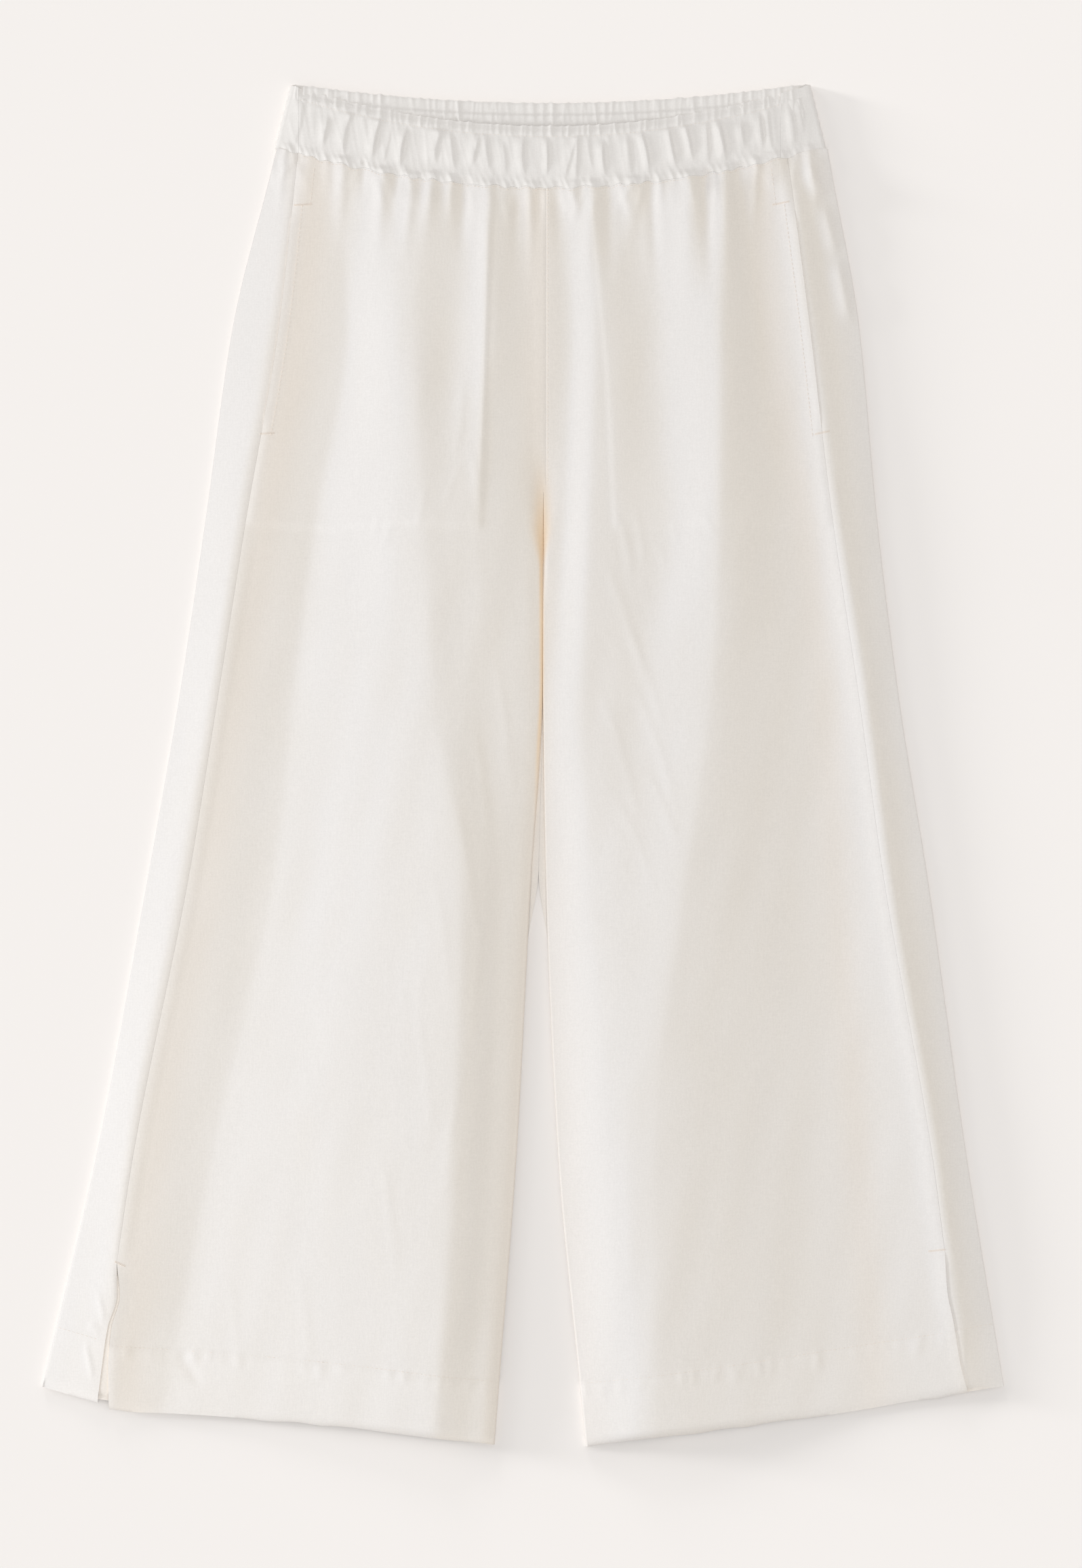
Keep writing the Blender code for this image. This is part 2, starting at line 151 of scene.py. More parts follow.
HEM = {
    ("front", "right"): [(-276.0, -431.0), (-140.0, -440.8), (-16.0, -455.0)],
    ("front", "left"): [(39.0, -456.2), (149.0, -442.2), (297.0, -420.0)],
    ("back", "right"): [(-322.0, -415.5), (-281.0, -424.0), (-180.0, -434.0), (-16.0, -454.5)],
    ("back", "left"): [(39.0, -455.7), (180.0, -435.5), (322.0, -415.3)],
    ("wrap", "right"): [(-322.0, -415.5), (-287.0, -425.5)],
    ("wrap", "left"): [(293.0, -419.6), (322.0, -415.3)]}

WAIST_CENTRE, WAIST_HALF = 17.5, 180.0
SEAM_SIDE_Y, SEAM_DIPS = 411.0, (10.0, 27.0)     # dip of the back, dip of the front
TOP_SIDE_Y, TOP_DIPS = 455.8, (14.2, 30.2)
BAND_SEAM = {"right": -149.5, "left": 171.8}
BAND_EDGE = {"right": (-165.5, -155.0), "left": (202.4, 192.0)}
BAND_SIDE_Z, BAND_RISE = 6.0, (6.2, 5.4)


def middling(x):
    """1 in the middle of the waist and 0 at its sides."""
    return np.maximum(1 - ((x - WAIST_CENTRE) / WAIST_HALF) ** 2, 0.0)


def seam_y(x, layer):
    """Waist seam: layer 0 is the back on the table, 1 the upper face. Its puckers sway it."""
    sway = 0.6 * np.sin(x / 1.9 + 2 * np.sin(x / 11)) + 0.5 * np.sin(x / 3.3 + 1.3)
    rise = middling(x)
    return SEAM_SIDE_Y - mix(*SEAM_DIPS, layer) * rise + sway * layer * np.clip(6 * rise, 0, 1)


def top_y(x, layer):
    """Top edge of the casing, with the same layers."""
    return TOP_SIDE_Y - mix(*TOP_DIPS, layer) * middling(x)


def band_height(x, up):
    """Upper face of the casing before its folds, up 0 at its low edge and 1 at its top."""
    return BAND_SIDE_Z + mix(*BAND_RISE, up) * middling(x)


def outseam_x(side, y, panel="front"):
    """Outseam, and below its foot the edge of the slit on that panel."""
    seam, edge = line(OUTSEAM[side], y), line(SLIT_EDGE[panel, side], y)
    return np.where(y >= SLIT_TOP[side], seam, edge)


for side in SIDES:
    print(side, "slit", round(SLIT_TOP[side] - SLIT_EDGE["front", side][-1][0]), "mm long")

# %% [markdown]
# ## The folds of the upper face
#
# Each row of the tables is one line that runs down the leg: a seam, a crest or a trough,
# with its place across and its height at the seven stations, and how crisp it is. The
# heights are those of a garment smoothed by hand on a table: hollow in the middle of the
# leg, low along the inseam, with one long ridge on each leg.

# %% Fold tables
FOLDS = {
    "right": [
        #  line             waist    hip  crotch   thigh    knee    calf     hem
        ("outer edge",   ( -167.7, -193.5, -211.5, -229.6, -250.9, -284.3, -322.3),
                         (   4.4,    3.4,    3.4,    3.4,    3.6,    3.9,    4.6), 0.0),
        ("seam crest",   ( -153.0, -166.5, -188.5, -208.0, -228.0, -263.0, -279.0),
                         (   8.8,    9.6,    9.6,    9.0,    8.6,    8.8,    9.6), 0.8),
        ("side trough",  ( -122.0, -117.0, -138.0, -153.0, -166.8, -207.0, -237.8),
                         (   8.0,    4.8,    3.5,    3.3,    3.3,    3.2,    4.0), 0.5),
        ("outer shoulder", (-77.0,  -82.0,  -82.0,  -82.0,  -88.6, -122.5, -109.0),
                         (  11.6,   14.4,   15.7,   13.8,   13.9,   11.7,   13.4), 0.0),
        ("main crest",   (  -59.0,  -72.0,  -66.0,  -59.0,  -41.0,  -46.6,  -57.0),
                         (  12.8,   15.2,   17.5,   16.0,   18.0,   17.0,   18.0), 0.3),
        ("bag trough",   (  -37.5,  -43.0,  -48.8,  -42.0,  -29.8,  -36.6,  -47.9),
                         (  11.2,   11.6,   16.4,   14.4,   15.6,   15.0,   15.8), 0.0),
        ("bag edge",     (  -18.3,  -20.0,  -30.0,  -25.3,  -16.3,  -23.0,  -34.4),
                         (  13.2,   15.0,   15.8,   12.3,   11.2,   10.2,   11.6), 0.9),
        ("inner shoulder", (-0.5,    4.0,    2.0,    6.0,    0.5,   -9.5,  -21.2),
                         (  11.0,   10.2,   10.7,    8.8,    7.4,    6.9,    8.8), 0.0),
        ("inner edge",   (   15.1,   15.1,   13.7,   13.2,    5.6,   -4.0,  -16.3),
                         (  10.5,    9.5,    8.6,    7.2,    5.4,    4.8,    5.8), 0.0),
    ],
    "left": [
        ("inner edge",   (   15.4,   15.4,   13.8,   13.4,   15.4,   23.5,   38.9),
                         (  10.5,    9.5,    8.6,    7.2,    5.4,    5.2,    6.0), 0.0),
        ("inner trough", (   23.0,   31.0,   26.0,   20.0,   21.2,   29.4,   43.8),
                         (   9.4,    7.9,    8.2,    7.8,    6.4,    6.2,    7.4), 0.0),
        ("inner crest",  (   47.0,   49.3,   44.7,   41.1,   44.7,   56.0,   65.1),
                         (  11.6,   12.2,   13.6,   12.0,   12.4,   14.6,   14.4), 0.3),
        ("bag edge",     (   51.5,   57.0,   60.0,   58.0,   60.0,   64.0,   71.0),
                         (  10.8,   11.6,   12.9,   11.4,   14.0,   16.2,   16.0), 0.0),
        ("bag trough",   (   60.6,   88.0,   92.0,   74.0,   76.4,   71.9,   76.4),
                         (   9.6,    7.4,   10.6,   10.6,   15.2,   17.4,   17.2), 0.0),
        ("main crest",   (  132.9,  131.5,  131.0,  125.2,  108.0,   87.7,   87.7),
                         (  13.0,   15.9,   18.5,   15.6,   17.8,   18.2,   18.4), 0.5),
        ("side trough",  (  158.0,  166.0,  187.0,  202.5,  209.7,  224.2,  235.5),
                         (   7.8,    6.0,    6.8,    4.5,    4.4,    4.0,    5.4), 0.0),
        ("seam crest",   (  180.3,  192.1,  212.0,  231.9,  247.2,  278.4,  297.9),
                         (   8.6,    8.2,    8.9,    8.0,    8.2,    8.0,    9.0), 0.6),
        ("wrap trough",  (  190.0,  210.0,  223.3,  238.2,  256.3,  284.3,  306.9),
                         (   6.6,    5.9,    7.2,    6.7,    6.7,    6.6,    7.2), 0.0),
        ("outer edge",   (  206.1,  224.6,  236.4,  251.3,  270.7,  296.0,  322.3),
                         (   4.0,    3.5,    3.8,    4.0,    4.0,    3.8,    3.6), 0.0),
    ]}


def fold_line(side, name, y):
    """X of a fold line at a height on the leg."""
    row = next(r for r in FOLDS[side] if r[0] == name)
    return cubic(STATIONS[::-1], row[1][::-1], y)


print({side: len(rows) for side, rows in FOLDS.items()}, "lines down each leg")

# %% [markdown]
# ## One height map for the upper face
#
# The fronts and the wrapped edges of the backs share one upper face, so one map of heights
# is worked out over the whole garment and every panel reads it. Folds, creases, puckers
# and seam grooves are then strokes that are added to the map, and neighbouring panels
# always agree where they meet. Sculpting would do it too, but a map can be measured.

# %% Height map
GRID = 1.0
grid_x = np.arange(-336.0, 337.0, GRID)
grid_y = np.arange(-466.0, 425.0, GRID)
map_x, map_y = np.meshgrid(grid_x, grid_y)


def laid_cloth():
    """Heights of the big folds alone."""
    rows = FOLDS["right"] + FOLDS["left"]
    across = np.array([cubic(STATIONS[::-1], r[1][::-1], grid_y) for r in rows])
    heights = np.array([cubic(STATIONS[::-1], r[2][::-1], grid_y) for r in rows])
    crisp = np.array([r[3] for r in rows])
    return np.array([cubic(across[:, i], heights[:, i], grid_x, crisp)
                     for i in range(len(grid_y))])


def blurred(field, spread):
    """A soft blur, spread in millimetres."""
    half = int(3 * spread / GRID)
    kernel = np.exp(-0.5 * (np.arange(-half, half + 1) * GRID / spread) ** 2)
    kernel /= kernel.sum()
    for axis in (0, 1):
        pad = [(half, half) if a == axis else (0, 0) for a in (0, 1)]
        wide = np.pad(field, pad, mode="edge")
        count = field.shape[axis]
        field = sum(k * np.take(wide, range(i, i + count), axis) for i, k in enumerate(kernel))
    return field


FOLD_ROUNDING = 1.6
GATHER_RUN = 16.0
HEM_REACH, HEM_SHARE = 90.0, 0.74       # the folds sink towards the hem
height_map = blurred(laid_cloth(), FOLD_ROUNDING)
low_hem = np.where(map_x < 0, line(HEM["front", "right"], map_x), line(HEM["front", "left"], map_x))
height_map *= mix(1.0, HEM_SHARE, ease(1 - (map_y - low_hem) / HEM_REACH))
height_map = mix(band_height(map_x, 0.0), height_map,
                 ease((seam_y(map_x, 1.0) - map_y) / GATHER_RUN))
print("upper face rises to", round(float(height_map.max()), 1), "mm")


def sampled(field, x, y):
    """Any map of the garment, read between its points."""
    column = np.clip((x - grid_x[0]) / GRID, 0, len(grid_x) - 1.001)
    row = np.clip((y - grid_y[0]) / GRID, 0, len(grid_y) - 1.001)
    i, j = row.astype(int), column.astype(int)
    s, t = row - i, column - j
    low, high = (mix(field[k, j], field[k, j + 1], t) for k in (i, i + 1))
    return mix(low, high, s)


def height(x, y):
    """Height of the upper face anywhere."""
    return sampled(height_map, x, y)


# %% [markdown]
# ## Strokes
#
# A stroke is a ridge or a trough from one point to another. It may bow, it fades in and
# out along its length, and its two flanks may differ: cloth that is pushed aside rises
# gently on one side and drops on the other.

# %% Strokes


def stroke(start, end, width, rise, bow=0.0, far=1.0, fades=(0.3, 0.3)):
    """Adds one crease to the map. far is the width of its right flank over its left."""
    (x0, y0), (x1, y1) = start, end
    long = math.hypot(x1 - x0, y1 - y0)
    margin = 3 * width * max(far, 1.0) + abs(bow)
    rows = slice(*np.searchsorted(grid_y, (min(y0, y1) - margin, max(y0, y1) + margin)))
    cols = slice(*np.searchsorted(grid_x, (min(x0, x1) - margin, max(x0, x1) + margin)))
    x, y = map_x[rows, cols] - x0, map_y[rows, cols] - y0
    ux, uy = (x1 - x0) / long, (y1 - y0) / long
    t = (x * ux + y * uy) / long
    off = (y * ux - x * uy) * (1 if uy < 0 else -1) - bow * 4 * t * (1 - t)
    flank = np.where(off > 0, width * far, width)
    fade = ease(t / fades[0]) * ease((1 - t) / fades[1])
    height_map[rows, cols] += rise * fade * bell(off, flank)


# %% [markdown]
# ## Gathers under the casing
#
# The elastic draws the cloth up, so short folds hang from the waist seam and die away in a
# few centimetres. They are uneven, so each is placed one by one. The fine ruffles right at the
# seam are too many for that, and follow a rule with a fixed seed.

# %% Gathers


def ruffles(x, lean_by, pitch, seed):
    """A row of small ridges with uneven spacing, size and lean. lean_by runs from -0.5 to 0.5."""
    draw = np.random.default_rng(seed)
    total = 0.0
    for centre in np.arange(-176.0, 208.0, pitch):
        centre += draw.uniform(-0.35, 0.35) * pitch
        lean, size, width = draw.uniform(-1, 1), draw.uniform(0.3, 1.0), draw.uniform(0.22, 0.36)
        total = total + size * bell(x - centre - lean * pitch * lean_by, width * pitch)
    return total


# Gathers under the casing: X at the waist, X at the foot, length, width, height.
GATHERS = [
    (-142, -146, 30, 3.0, 0.5), (-120, -122, 38, 4.5, 1.5), (-106, -107, 16, 2.2, -0.9),
    (-93, -98, 42, 5.0, 1.7), (-84, -87, 26, 3.0, -0.8), (-73, -79, 38, 4.0, 1.4),
    (-60, -66, 32, 5.0, 1.3), (-47, -49, 22, 2.8, 1.0), (-39, -41, 36, 4.5, -1.7),
    (-24, -26, 60, 5.0, 0.9), (-11, -12, 12, 2.2, 0.4), (-5, -4, 40, 3.5, -0.9),
    (5, 6, 46, 3.0, 1.1), (12, 12, 22, 2.4, -0.6), (23, 24, 30, 4.0, -0.8),
    (34, 35, 20, 3.0, 1.0), (46, 43, 50, 5.0, 1.2), (57, 58, 50, 4.5, -1.3),
    (73, 70, 36, 5.5, 1.5), (86, 90, 50, 4.0, -1.5), (90, 92, 14, 2.6, 0.5),
    (111, 108, 62, 8.0, 1.7), (122, 125, 55, 4.2, -1.9), (136, 137, 60, 5.0, 1.4),
    (144, 151, 60, 7.0, -1.3), (156, 153, 34, 3.0, 1.4), (165, 168, 24, 3.4, 1.0),
    (172, 176, 34, 3.0, 0.8), (190, 199, 40, 3.5, 1.4), (-158, -164, 34, 3.0, 0.9)]

# The ridge that runs down from the casing behind the wearer's left side seam.
HIP_RIDGE = [((190, 404), (201, 374)), ((200, 378), (210, 336)), ((209, 342), (219, 292))]
GATHER_SIZE, GATHER_REACH = 1.4, 1.6        # over the table's heights and lengths

for start, end in HIP_RIDGE:
    stroke(start, end, 4.5, 2.5, far=0.8, fades=(0.35, 0.35))
for x_top, x_foot, length, width, rise in GATHERS:
    y_top = float(seam_y(x_top, 1.0)) + 6
    stroke((x_top, y_top), (x_foot, y_top - GATHER_REACH * length - 6), width,
           GATHER_SIZE * rise, far=0.9, fades=(0.05, 0.9))
above = map_y - seam_y(map_x, 1.0)
height_map += (1.15 * ruffles(map_x + 0.45 * above, 0 * above, 4.6, 9) * bell(above - 2.0, 5.0)
               - 0.3 * bell(above, 1.0))
height_map += 1.05 * ruffles(map_x, above / 16, 9.5, 17) * bell(above + 7.0, 12.0)
print(len(GATHERS), "gathers under the casing")

# %% [markdown]
# ## Seams, pocket bags and turnings
#
# A sewn seam is a narrow groove, with the faint step of its turnings beside it. A pocket
# bag lies between front and back and lifts the front by its own two plies. Both are drawn
# by the distance from a line, which is worked out for the whole map at once.

# %% Seams and steps


def groove(x_line, y_range, depth, width):
    """A seam that runs down the leg: x_line gives its X for each Y of the map."""
    fade = between(map_y, *y_range, 12)
    height_map[:] -= depth * fade * bell(map_x - x_line(map_y), width)


def step(x_line, y_range, rise, width):
    """The edge of a hidden ply: the cloth to the right of the line is higher by rise."""
    fade = between(map_y, *y_range, 10)
    off = (map_x - x_line(map_y)) / width
    height_map[:] += rise * fade * (0.5 + 0.5 * np.tanh(off)) * np.exp(-np.maximum(off, 0) / 14)


CENTRE_X, FORK_Y = 15.25, 184.0             # the centre seam, and where the legs part
BAG_FOOT = 159.0
BAG_INNER = {"right": [(380.0, -20.0), (293.0, -23.0), (220.0, -25.0), (BAG_FOOT, -27.0)],
             "left": [(380.0, 45.0), (322.0, 50.0), (256.0, 56.0), (BAG_FOOT, 61.0)]}
BAG_RISE = {"right": 0.8, "left": 0.65}     # mm, what shows of two plies


def bag_relief(side):
    """The pocket bag's two plies under the front, from its inner edge to the outseam."""
    sign = SIDES[side]
    inside = sign * (map_x - line(BAG_INNER[side], map_y))
    above = map_y - (BAG_FOOT + 1.5 * np.sin(map_x / 17.0))
    within = ease(sign * (outseam_x(side, map_y) - map_x) / 4)
    height_map[:] += BAG_RISE[side] * within * ease(inside / 2.4 + 0.5) * ease(above / 2.2 + 0.5)


stroke((-21, 392), (-27.5, 165), 5.0, 0.7, far=0.2, fades=(0.2, 0.15))   # the bag's long edge
for side in SIDES:
    bag_relief(side)
    groove(lambda y: outseam_x(side, y), (SLIT_TOP[side] - 4, 410), 0.3, 0.8)
groove(lambda y: CENTRE_X + 0 * y, (FORK_Y, 400), 0.3, 1.0)

# the hollow at the fork, where four seams pull
fork_wide = 1.5 + 7.0 * ease((map_y - 134) / 60)
height_map -= 1.6 * between(map_y, 100, 222, 40) * bell(map_x - 13.8, fork_wide)

# the ridge over the wearer's left outseam, bowed outwards at the knee
off = map_x - outseam_x("left", map_y) - 0.9 - 3.1 * bell(map_y - 30, 170)
height_map += (2.3 * ease((400 - map_y) / 30) * ease((map_y + 420) / 100)
               * bell(off, np.where(off < 0, 8.0, 9.5)))

# the turnings beside the centre seam and the outseams
step(lambda y: 8.6 + 0 * y, (190, 392), 0.25, 0.8)
step(lambda y: outseam_x("right", y) + 7.5, (-330, 150), -0.35, 1.0)
step(lambda y: outseam_x("left", y) + 6.5, (-323, 196), -0.45, 1.2)
print("pocket bags lift the fronts by", BAG_RISE, "mm")

# %% [markdown]
# ## Hems
#
# The hem is turned up on itself and stitched, so it is a little thicker and stiffer, and
# the stitching draws the cloth into fine puckers. The line of stitches is a shallow
# groove that follows the hem at its depth.

# %% Hem relief


def hem_y(side, x, panel="front"):
    """The hem's folded edge on that panel."""
    return line(HEM[panel, side], x)


PUCKER_PITCH = 7.0                          # mm
rng = np.random.default_rng(11)


def hem_relief(side, x_range):
    """The stitched line, the extra ply below it, and puckers across it."""
    x0, x1 = x_range
    off = map_y - (hem_y(side, map_x) + HEM_DEPTH)
    turned_up = 0.55 * ease(-off / 1.6 + 0.5) - 0.5 * bell(off, 1.0)
    height_map[:] += between(map_x, x0, x1, 3) * turned_up
    for x in np.arange(x0 + 4, x1 - 4, PUCKER_PITCH):
        x += rng.uniform(-3, 3)
        y = float(hem_y(side, x)) + HEM_DEPTH
        lean, length = rng.uniform(-4, 4), rng.uniform(8, 18)
        stroke((x, y + 0.2 * length), (x + lean, y - 0.8 * length), rng.uniform(1.2, 2.4),
               rng.uniform(-0.3, 0.8))


hem_relief("right", (-276, -16))
hem_relief("left", (38, 297))
print("hems turned up by", HEM_DEPTH, "mm")

# %% [markdown]
# ## Creases and crumple
#
# Linen keeps the marks of handling. The long ones are listed one by one, and groups of fine
# ones fill the areas where the cloth has been rubbed: each group is a box with a heading,
# a number and a range of sizes, drawn with a fixed seed. A faint wide swell over it all
# keeps the flat parts from looking pressed.

# %% Creases
# start, end, width, height, bow
CREASES = [
    ((-46, 200), (-40, 262), 3.0, 0.8, 2), ((-52, 168), (-38, 205), 2.2, 0.6, -2),
    ((-72, 150), (-64, 190), 2.4, 0.6, 1), ((-30, 170), (-36, 215), 2.2, 0.7, 2),
    ((-140, 160), (-120, 156), 2.0, 0.5, 1), ((-112, 158), (-100, 164), 2.0, 0.6, 0),
    ((-96, 168), (-101, 150), 2.4, 0.7, 1), ((-88, 165), (-95, 140), 2.6, 0.7, 2),
    ((62, 168), (72, 120), 2.6, 0.9, 3), ((74, 172), (80, 128), 2.4, 0.6, 2),
    ((100, 165), (103, 145), 2.2, 0.6, 0), ((118, 170), (127, 150), 2.4, 0.7, 1),
    ((52, 140), (84, 40), 3.4, 0.7, 4), ((60, 110), (96, 10), 3.0, 0.6, 5),
    ((70, 60), (104, -40), 3.2, 0.7, 4), ((46, 60), (78, -50), 3.0, 0.6, 5),
    ((56, -10), (90, -90), 3.0, 0.6, 3), ((80, 0), (106, -62), 2.6, 0.6, 2),
    ((-20, 80), (-6, -30), 3.0, 0.6, 2), ((-34, 30), (-22, -60), 2.8, 0.6, 2),
    ((-46, -20), (-30, -130), 3.0, 0.6, 3), ((-24, -90), (-34, -190), 2.8, 0.6, -2),
    ((-60, -60), (-48, -170), 3.2, 0.5, 2), ((-72, -150), (-60, -260), 3.0, 0.5, 2),
    ((-40, -200), (-52, -300), 2.8, 0.5, -2), ((-96, -250), (-84, -350), 3.0, 0.5, 2),
    ((-150, -330), (-140, -420), 3.4, 0.5, 1), ((-196, -340), (-190, -400), 3.0, 0.5, 1),
    ((-231, -390), (-213, -416), 3.4, -1.6, 0), ((-284, -352), (-279, -374), 1.6, 1.4, 1),
    ((-290, -372), (-281, -379), 1.4, 1.5, 0), ((-292, -384), (-286, -412), 1.6, 1.5, 0)]

# leg area (x0, x1, y0, y1), heading in degrees from +Y, spread, number, length, width, height
CRUMPLE = [
    ((40, 110, -110, 160), 160, 14, 70, (14, 42), (1.6, 3.0), 0.40),
    ((-60, 0, -60, 120), 186, 14, 55, (14, 40), (1.6, 2.8), 0.36),
    ((-90, -20, -330, -60), 184, 12, 80, (14, 44), (1.6, 3.0), 0.36),
    ((-230, -100, -380, -150), 186, 14, 40, (16, 46), (1.8, 3.2), 0.22),
    ((60, 150, -400, -110), 176, 12, 45, (16, 46), (1.8, 3.2), 0.24),
    ((-70, -20, 150, 260), 190, 30, 34, (8, 26), (1.4, 2.4), 0.38),
    ((60, 150, 120, 190), 168, 34, 30, (8, 24), (1.4, 2.4), 0.30),
    ((-150, -70, 120, 190), 184, 40, 26, (8, 22), (1.4, 2.4), 0.28),
    ((-200, -60, -440, -380), 184, 30, 34, (8, 24), (1.4, 2.4), 0.24),
    ((60, 280, -440, -370), 178, 30, 44, (8, 24), (1.4, 2.4), 0.24)]


# how much of the tables' heights and widths is used
CREASE_SIZE, CRUMPLE_SIZE, CRUMPLE_WIDTH = 0.45, 0.42, 0.8


def crumple(area, heading, spread, number, lengths, widths, rise):
    """A group of fine creases over an area."""
    x0, x1, y0, y1 = area
    for _ in range(number):
        x, y = rng.uniform(x0, x1), rng.uniform(y0, y1)
        turn = math.radians(heading + rng.normal(0, spread))
        length = rng.uniform(*lengths)
        end = (x + length * math.sin(turn), y + length * math.cos(turn))
        stroke((x, y), end, CRUMPLE_WIDTH * rng.uniform(*widths),
               CRUMPLE_SIZE * rise * rng.uniform(-0.8, 1.0),
               bow=rng.uniform(-2, 2), far=rng.uniform(0.6, 1.5), fades=(0.5, 0.5))


for start, end, width, rise, bow in CREASES:
    stroke(start, end, width, CREASE_SIZE * rise, bow, far=0.8)
for group in CRUMPLE:
    crumple(*group)

SWELLS, SWELL_HEIGHT = 26, 0.035
for _ in range(SWELLS):
    turn, wave = rng.uniform(0, math.pi), rng.uniform(16, 70)
    along = map_x * math.cos(turn) + 0.45 * map_y * math.sin(turn)
    height_map += SWELL_HEIGHT * np.sin(along * 2 * math.pi / wave + rng.uniform(0, 6.3))
print(len(CREASES), "creases by hand,", sum(g[3] for g in CRUMPLE), "in groups")

# %% [markdown]
# ## Thin shells
#
# A shell is two grids of points, the face of the cloth and its back, with a rim between
# them. Solidify could thicken one grid, but here the two faces differ: a back panel is
# flat where it rests, and a hem is thicker than the panel.

# %% Shell maker
LINEN, HEM_PLIES = 0.7, 1.1                # mm, one ply and a turned hem
garment = []                               # every piece made here, for the lamps


def signed_volume(points, quads):
    """Six times the volume inside; below 0 where the faces point inwards."""
    a, b, c, d = (points[quads[:, i]] for i in range(4))
    return float((np.cross(a, b) * c).sum() + (np.cross(a, c) * d).sum())


def shell_quads(rows, cols):
    """The corners of every face: the two grids, and the rim between them."""
    index = np.arange(rows * cols).reshape(rows, cols)
    quads = np.stack([index[:-1, :-1], index[:-1, 1:], index[1:, 1:], index[1:, :-1]], -1)
    quads = quads.reshape(-1, 4)
    loop = np.concatenate([index[0, :-1], index[:-1, -1], index[-1, :0:-1], index[:0:-1, 0]])
    following = np.roll(loop, -1)
    under = rows * cols
    rim = np.stack([following, loop, loop + under, following + under], -1)
    return np.concatenate([quads, quads[:, ::-1] + under, rim])


def mesh_of_quads(name, points, quads):
    """A mesh filled from arrays, which is much faster than from lists."""
    mesh = bpy.data.meshes.new(name)
    mesh.vertices.add(len(points))
    mesh.vertices.foreach_set("co", points.astype(np.float32).ravel())
    mesh.loops.add(quads.size)
    mesh.loops.foreach_set("vertex_index", quads.astype(np.int32).ravel())
    mesh.polygons.add(len(quads))
    mesh.polygons.foreach_set("loop_start", np.arange(0, quads.size, 4, dtype=np.int32))
    mesh.update(calc_edges=True)
    mesh.validate()
    return mesh


def shell(name, face, back, material, **tints):
    """A closed piece of cloth from its two faces, arrays of [row, column, xyz].

    tints are point attributes for its material, arrays of [row, column].
    """
    rows, cols = face.shape[:2]
    points = np.concatenate([face.reshape(-1, 3), back.reshape(-1, 3)]) * MM
    quads = shell_quads(rows, cols)
    if signed_volume(points, quads) < 0:
        quads = quads[:, ::-1]
    mesh = mesh_of_quads(name, points, quads)
    for tint, values in tints.items():
        attribute = mesh.attributes.new(tint, "FLOAT", "POINT")
        values = np.broadcast_to(values, (rows, cols)).ravel()
        attribute.data.foreach_set("value", np.concatenate([values, values]).astype(np.float32))
    mesh.materials.append(material)
    mesh.shade_smooth()
    mesh.set_sharp_from_angle(angle=math.radians(60))
    piece = bpy.data.objects.new(name, mesh)
    bpy.context.scene.collection.objects.link(piece)
    garment.append(piece)
    print(f"{name}: {2 * len(quads)} triangles")
    return piece


def place(piece, node, slot):
    """The shell takes its construction piece's place in the frame."""
    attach(piece, "root")
    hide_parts(node)
    return piece


# %% [markdown]
# ## Linen
#
# Plain-woven linen, bleached to off-white. The threads are flax, uneven in thickness,
# so the cloth has slubs: short thick places that run along the warp and along the weft. A
# real thread is about half a millimetre, too fine to show at this distance, so the slubs
# carry the look and the bump is drawn as coarse as it needs to show. The surface is matt,
# with a faint sheen from the fibres.

# %% Materials


def linear(code):
    """A colour written #RRGGBB, turned to linear light, with a full alpha."""
    channels = [int(code[i:i + 2], 16) / 255 for i in (1, 3, 5)]
    linear_light = [c / 12.92 if c <= 0.04045 else ((c + 0.055) / 1.055) ** 2.4 for c in channels]
    return (*linear_light, 1.0)


def node(tree, kind, settings=None, inputs=None, links=None):
    """One node with its settings, its fixed inputs and its links, by input name or index."""
    made = tree.nodes.new(kind)
    for key, value in (settings or {}).items():
        setattr(made, key, value)
    for key, value in (inputs or {}).items():
        made.inputs[key].default_value = value
    for key, socket in (links or {}).items():
        tree.links.new(socket, made.inputs[key])
    return made


def new_material(name):
    """An empty material with its node tree and its shader."""
    material = bpy.data.materials.new(name)
    material.use_nodes = True
    return material, material.node_tree, material.node_tree.nodes["Principled BSDF"]


SLUB_LENGTH, SLUB_WIDTH, GRAIN = 7.0, 0.8, 1.3      # mm
PATCH_HEIGHT, WEAVE_BUMP = 6.0, 0.12       # mm
# X size and Y size in millimetres, and share in the weave: weft, warp and grain
THREADS = [(0.8 * SLUB_LENGTH, SLUB_WIDTH, 0.6), (SLUB_WIDTH, SLUB_LENGTH, 0.8),
           (GRAIN, GRAIN, 1.1)]
MULTIPLY_ADD = {"operation": "MULTIPLY_ADD"}
COLOUR_MIX = {"data_type": "RGBA", "clamp_factor": True}


def patches(tree, x_size, y_size, detail):
    """A soft uneven pattern of that size in millimetres, fixed to the piece."""
    where = node(tree, "ShaderNodeTexCoord").outputs["Object"]
    scaled = node(tree, "ShaderNodeMapping",
                  inputs={"Scale": tuple(1 / (size * MM) for size in (x_size, y_size, PATCH_HEIGHT))},
                  links={"Vector": where})
    return node(tree, "ShaderNodeTexNoise",
                inputs={"Scale": 1.0, "Detail": detail, "Roughness": 0.6},
                links={"Vector": scaled.outputs[0]}).outputs["Fac"]


def weave_of(tree):
    """Weft, warp and grain added up to one value."""
    weave = None
    for x_size, y_size, share in THREADS:
        links = {0: patches(tree, x_size, y_size, 2.0)}
        if weave is not None:
            links[2] = weave
        weave = node(tree, "ShaderNodeMath", MULTIPLY_ADD, {1: share, 2: 0.0}, links).outputs[0]
    return weave


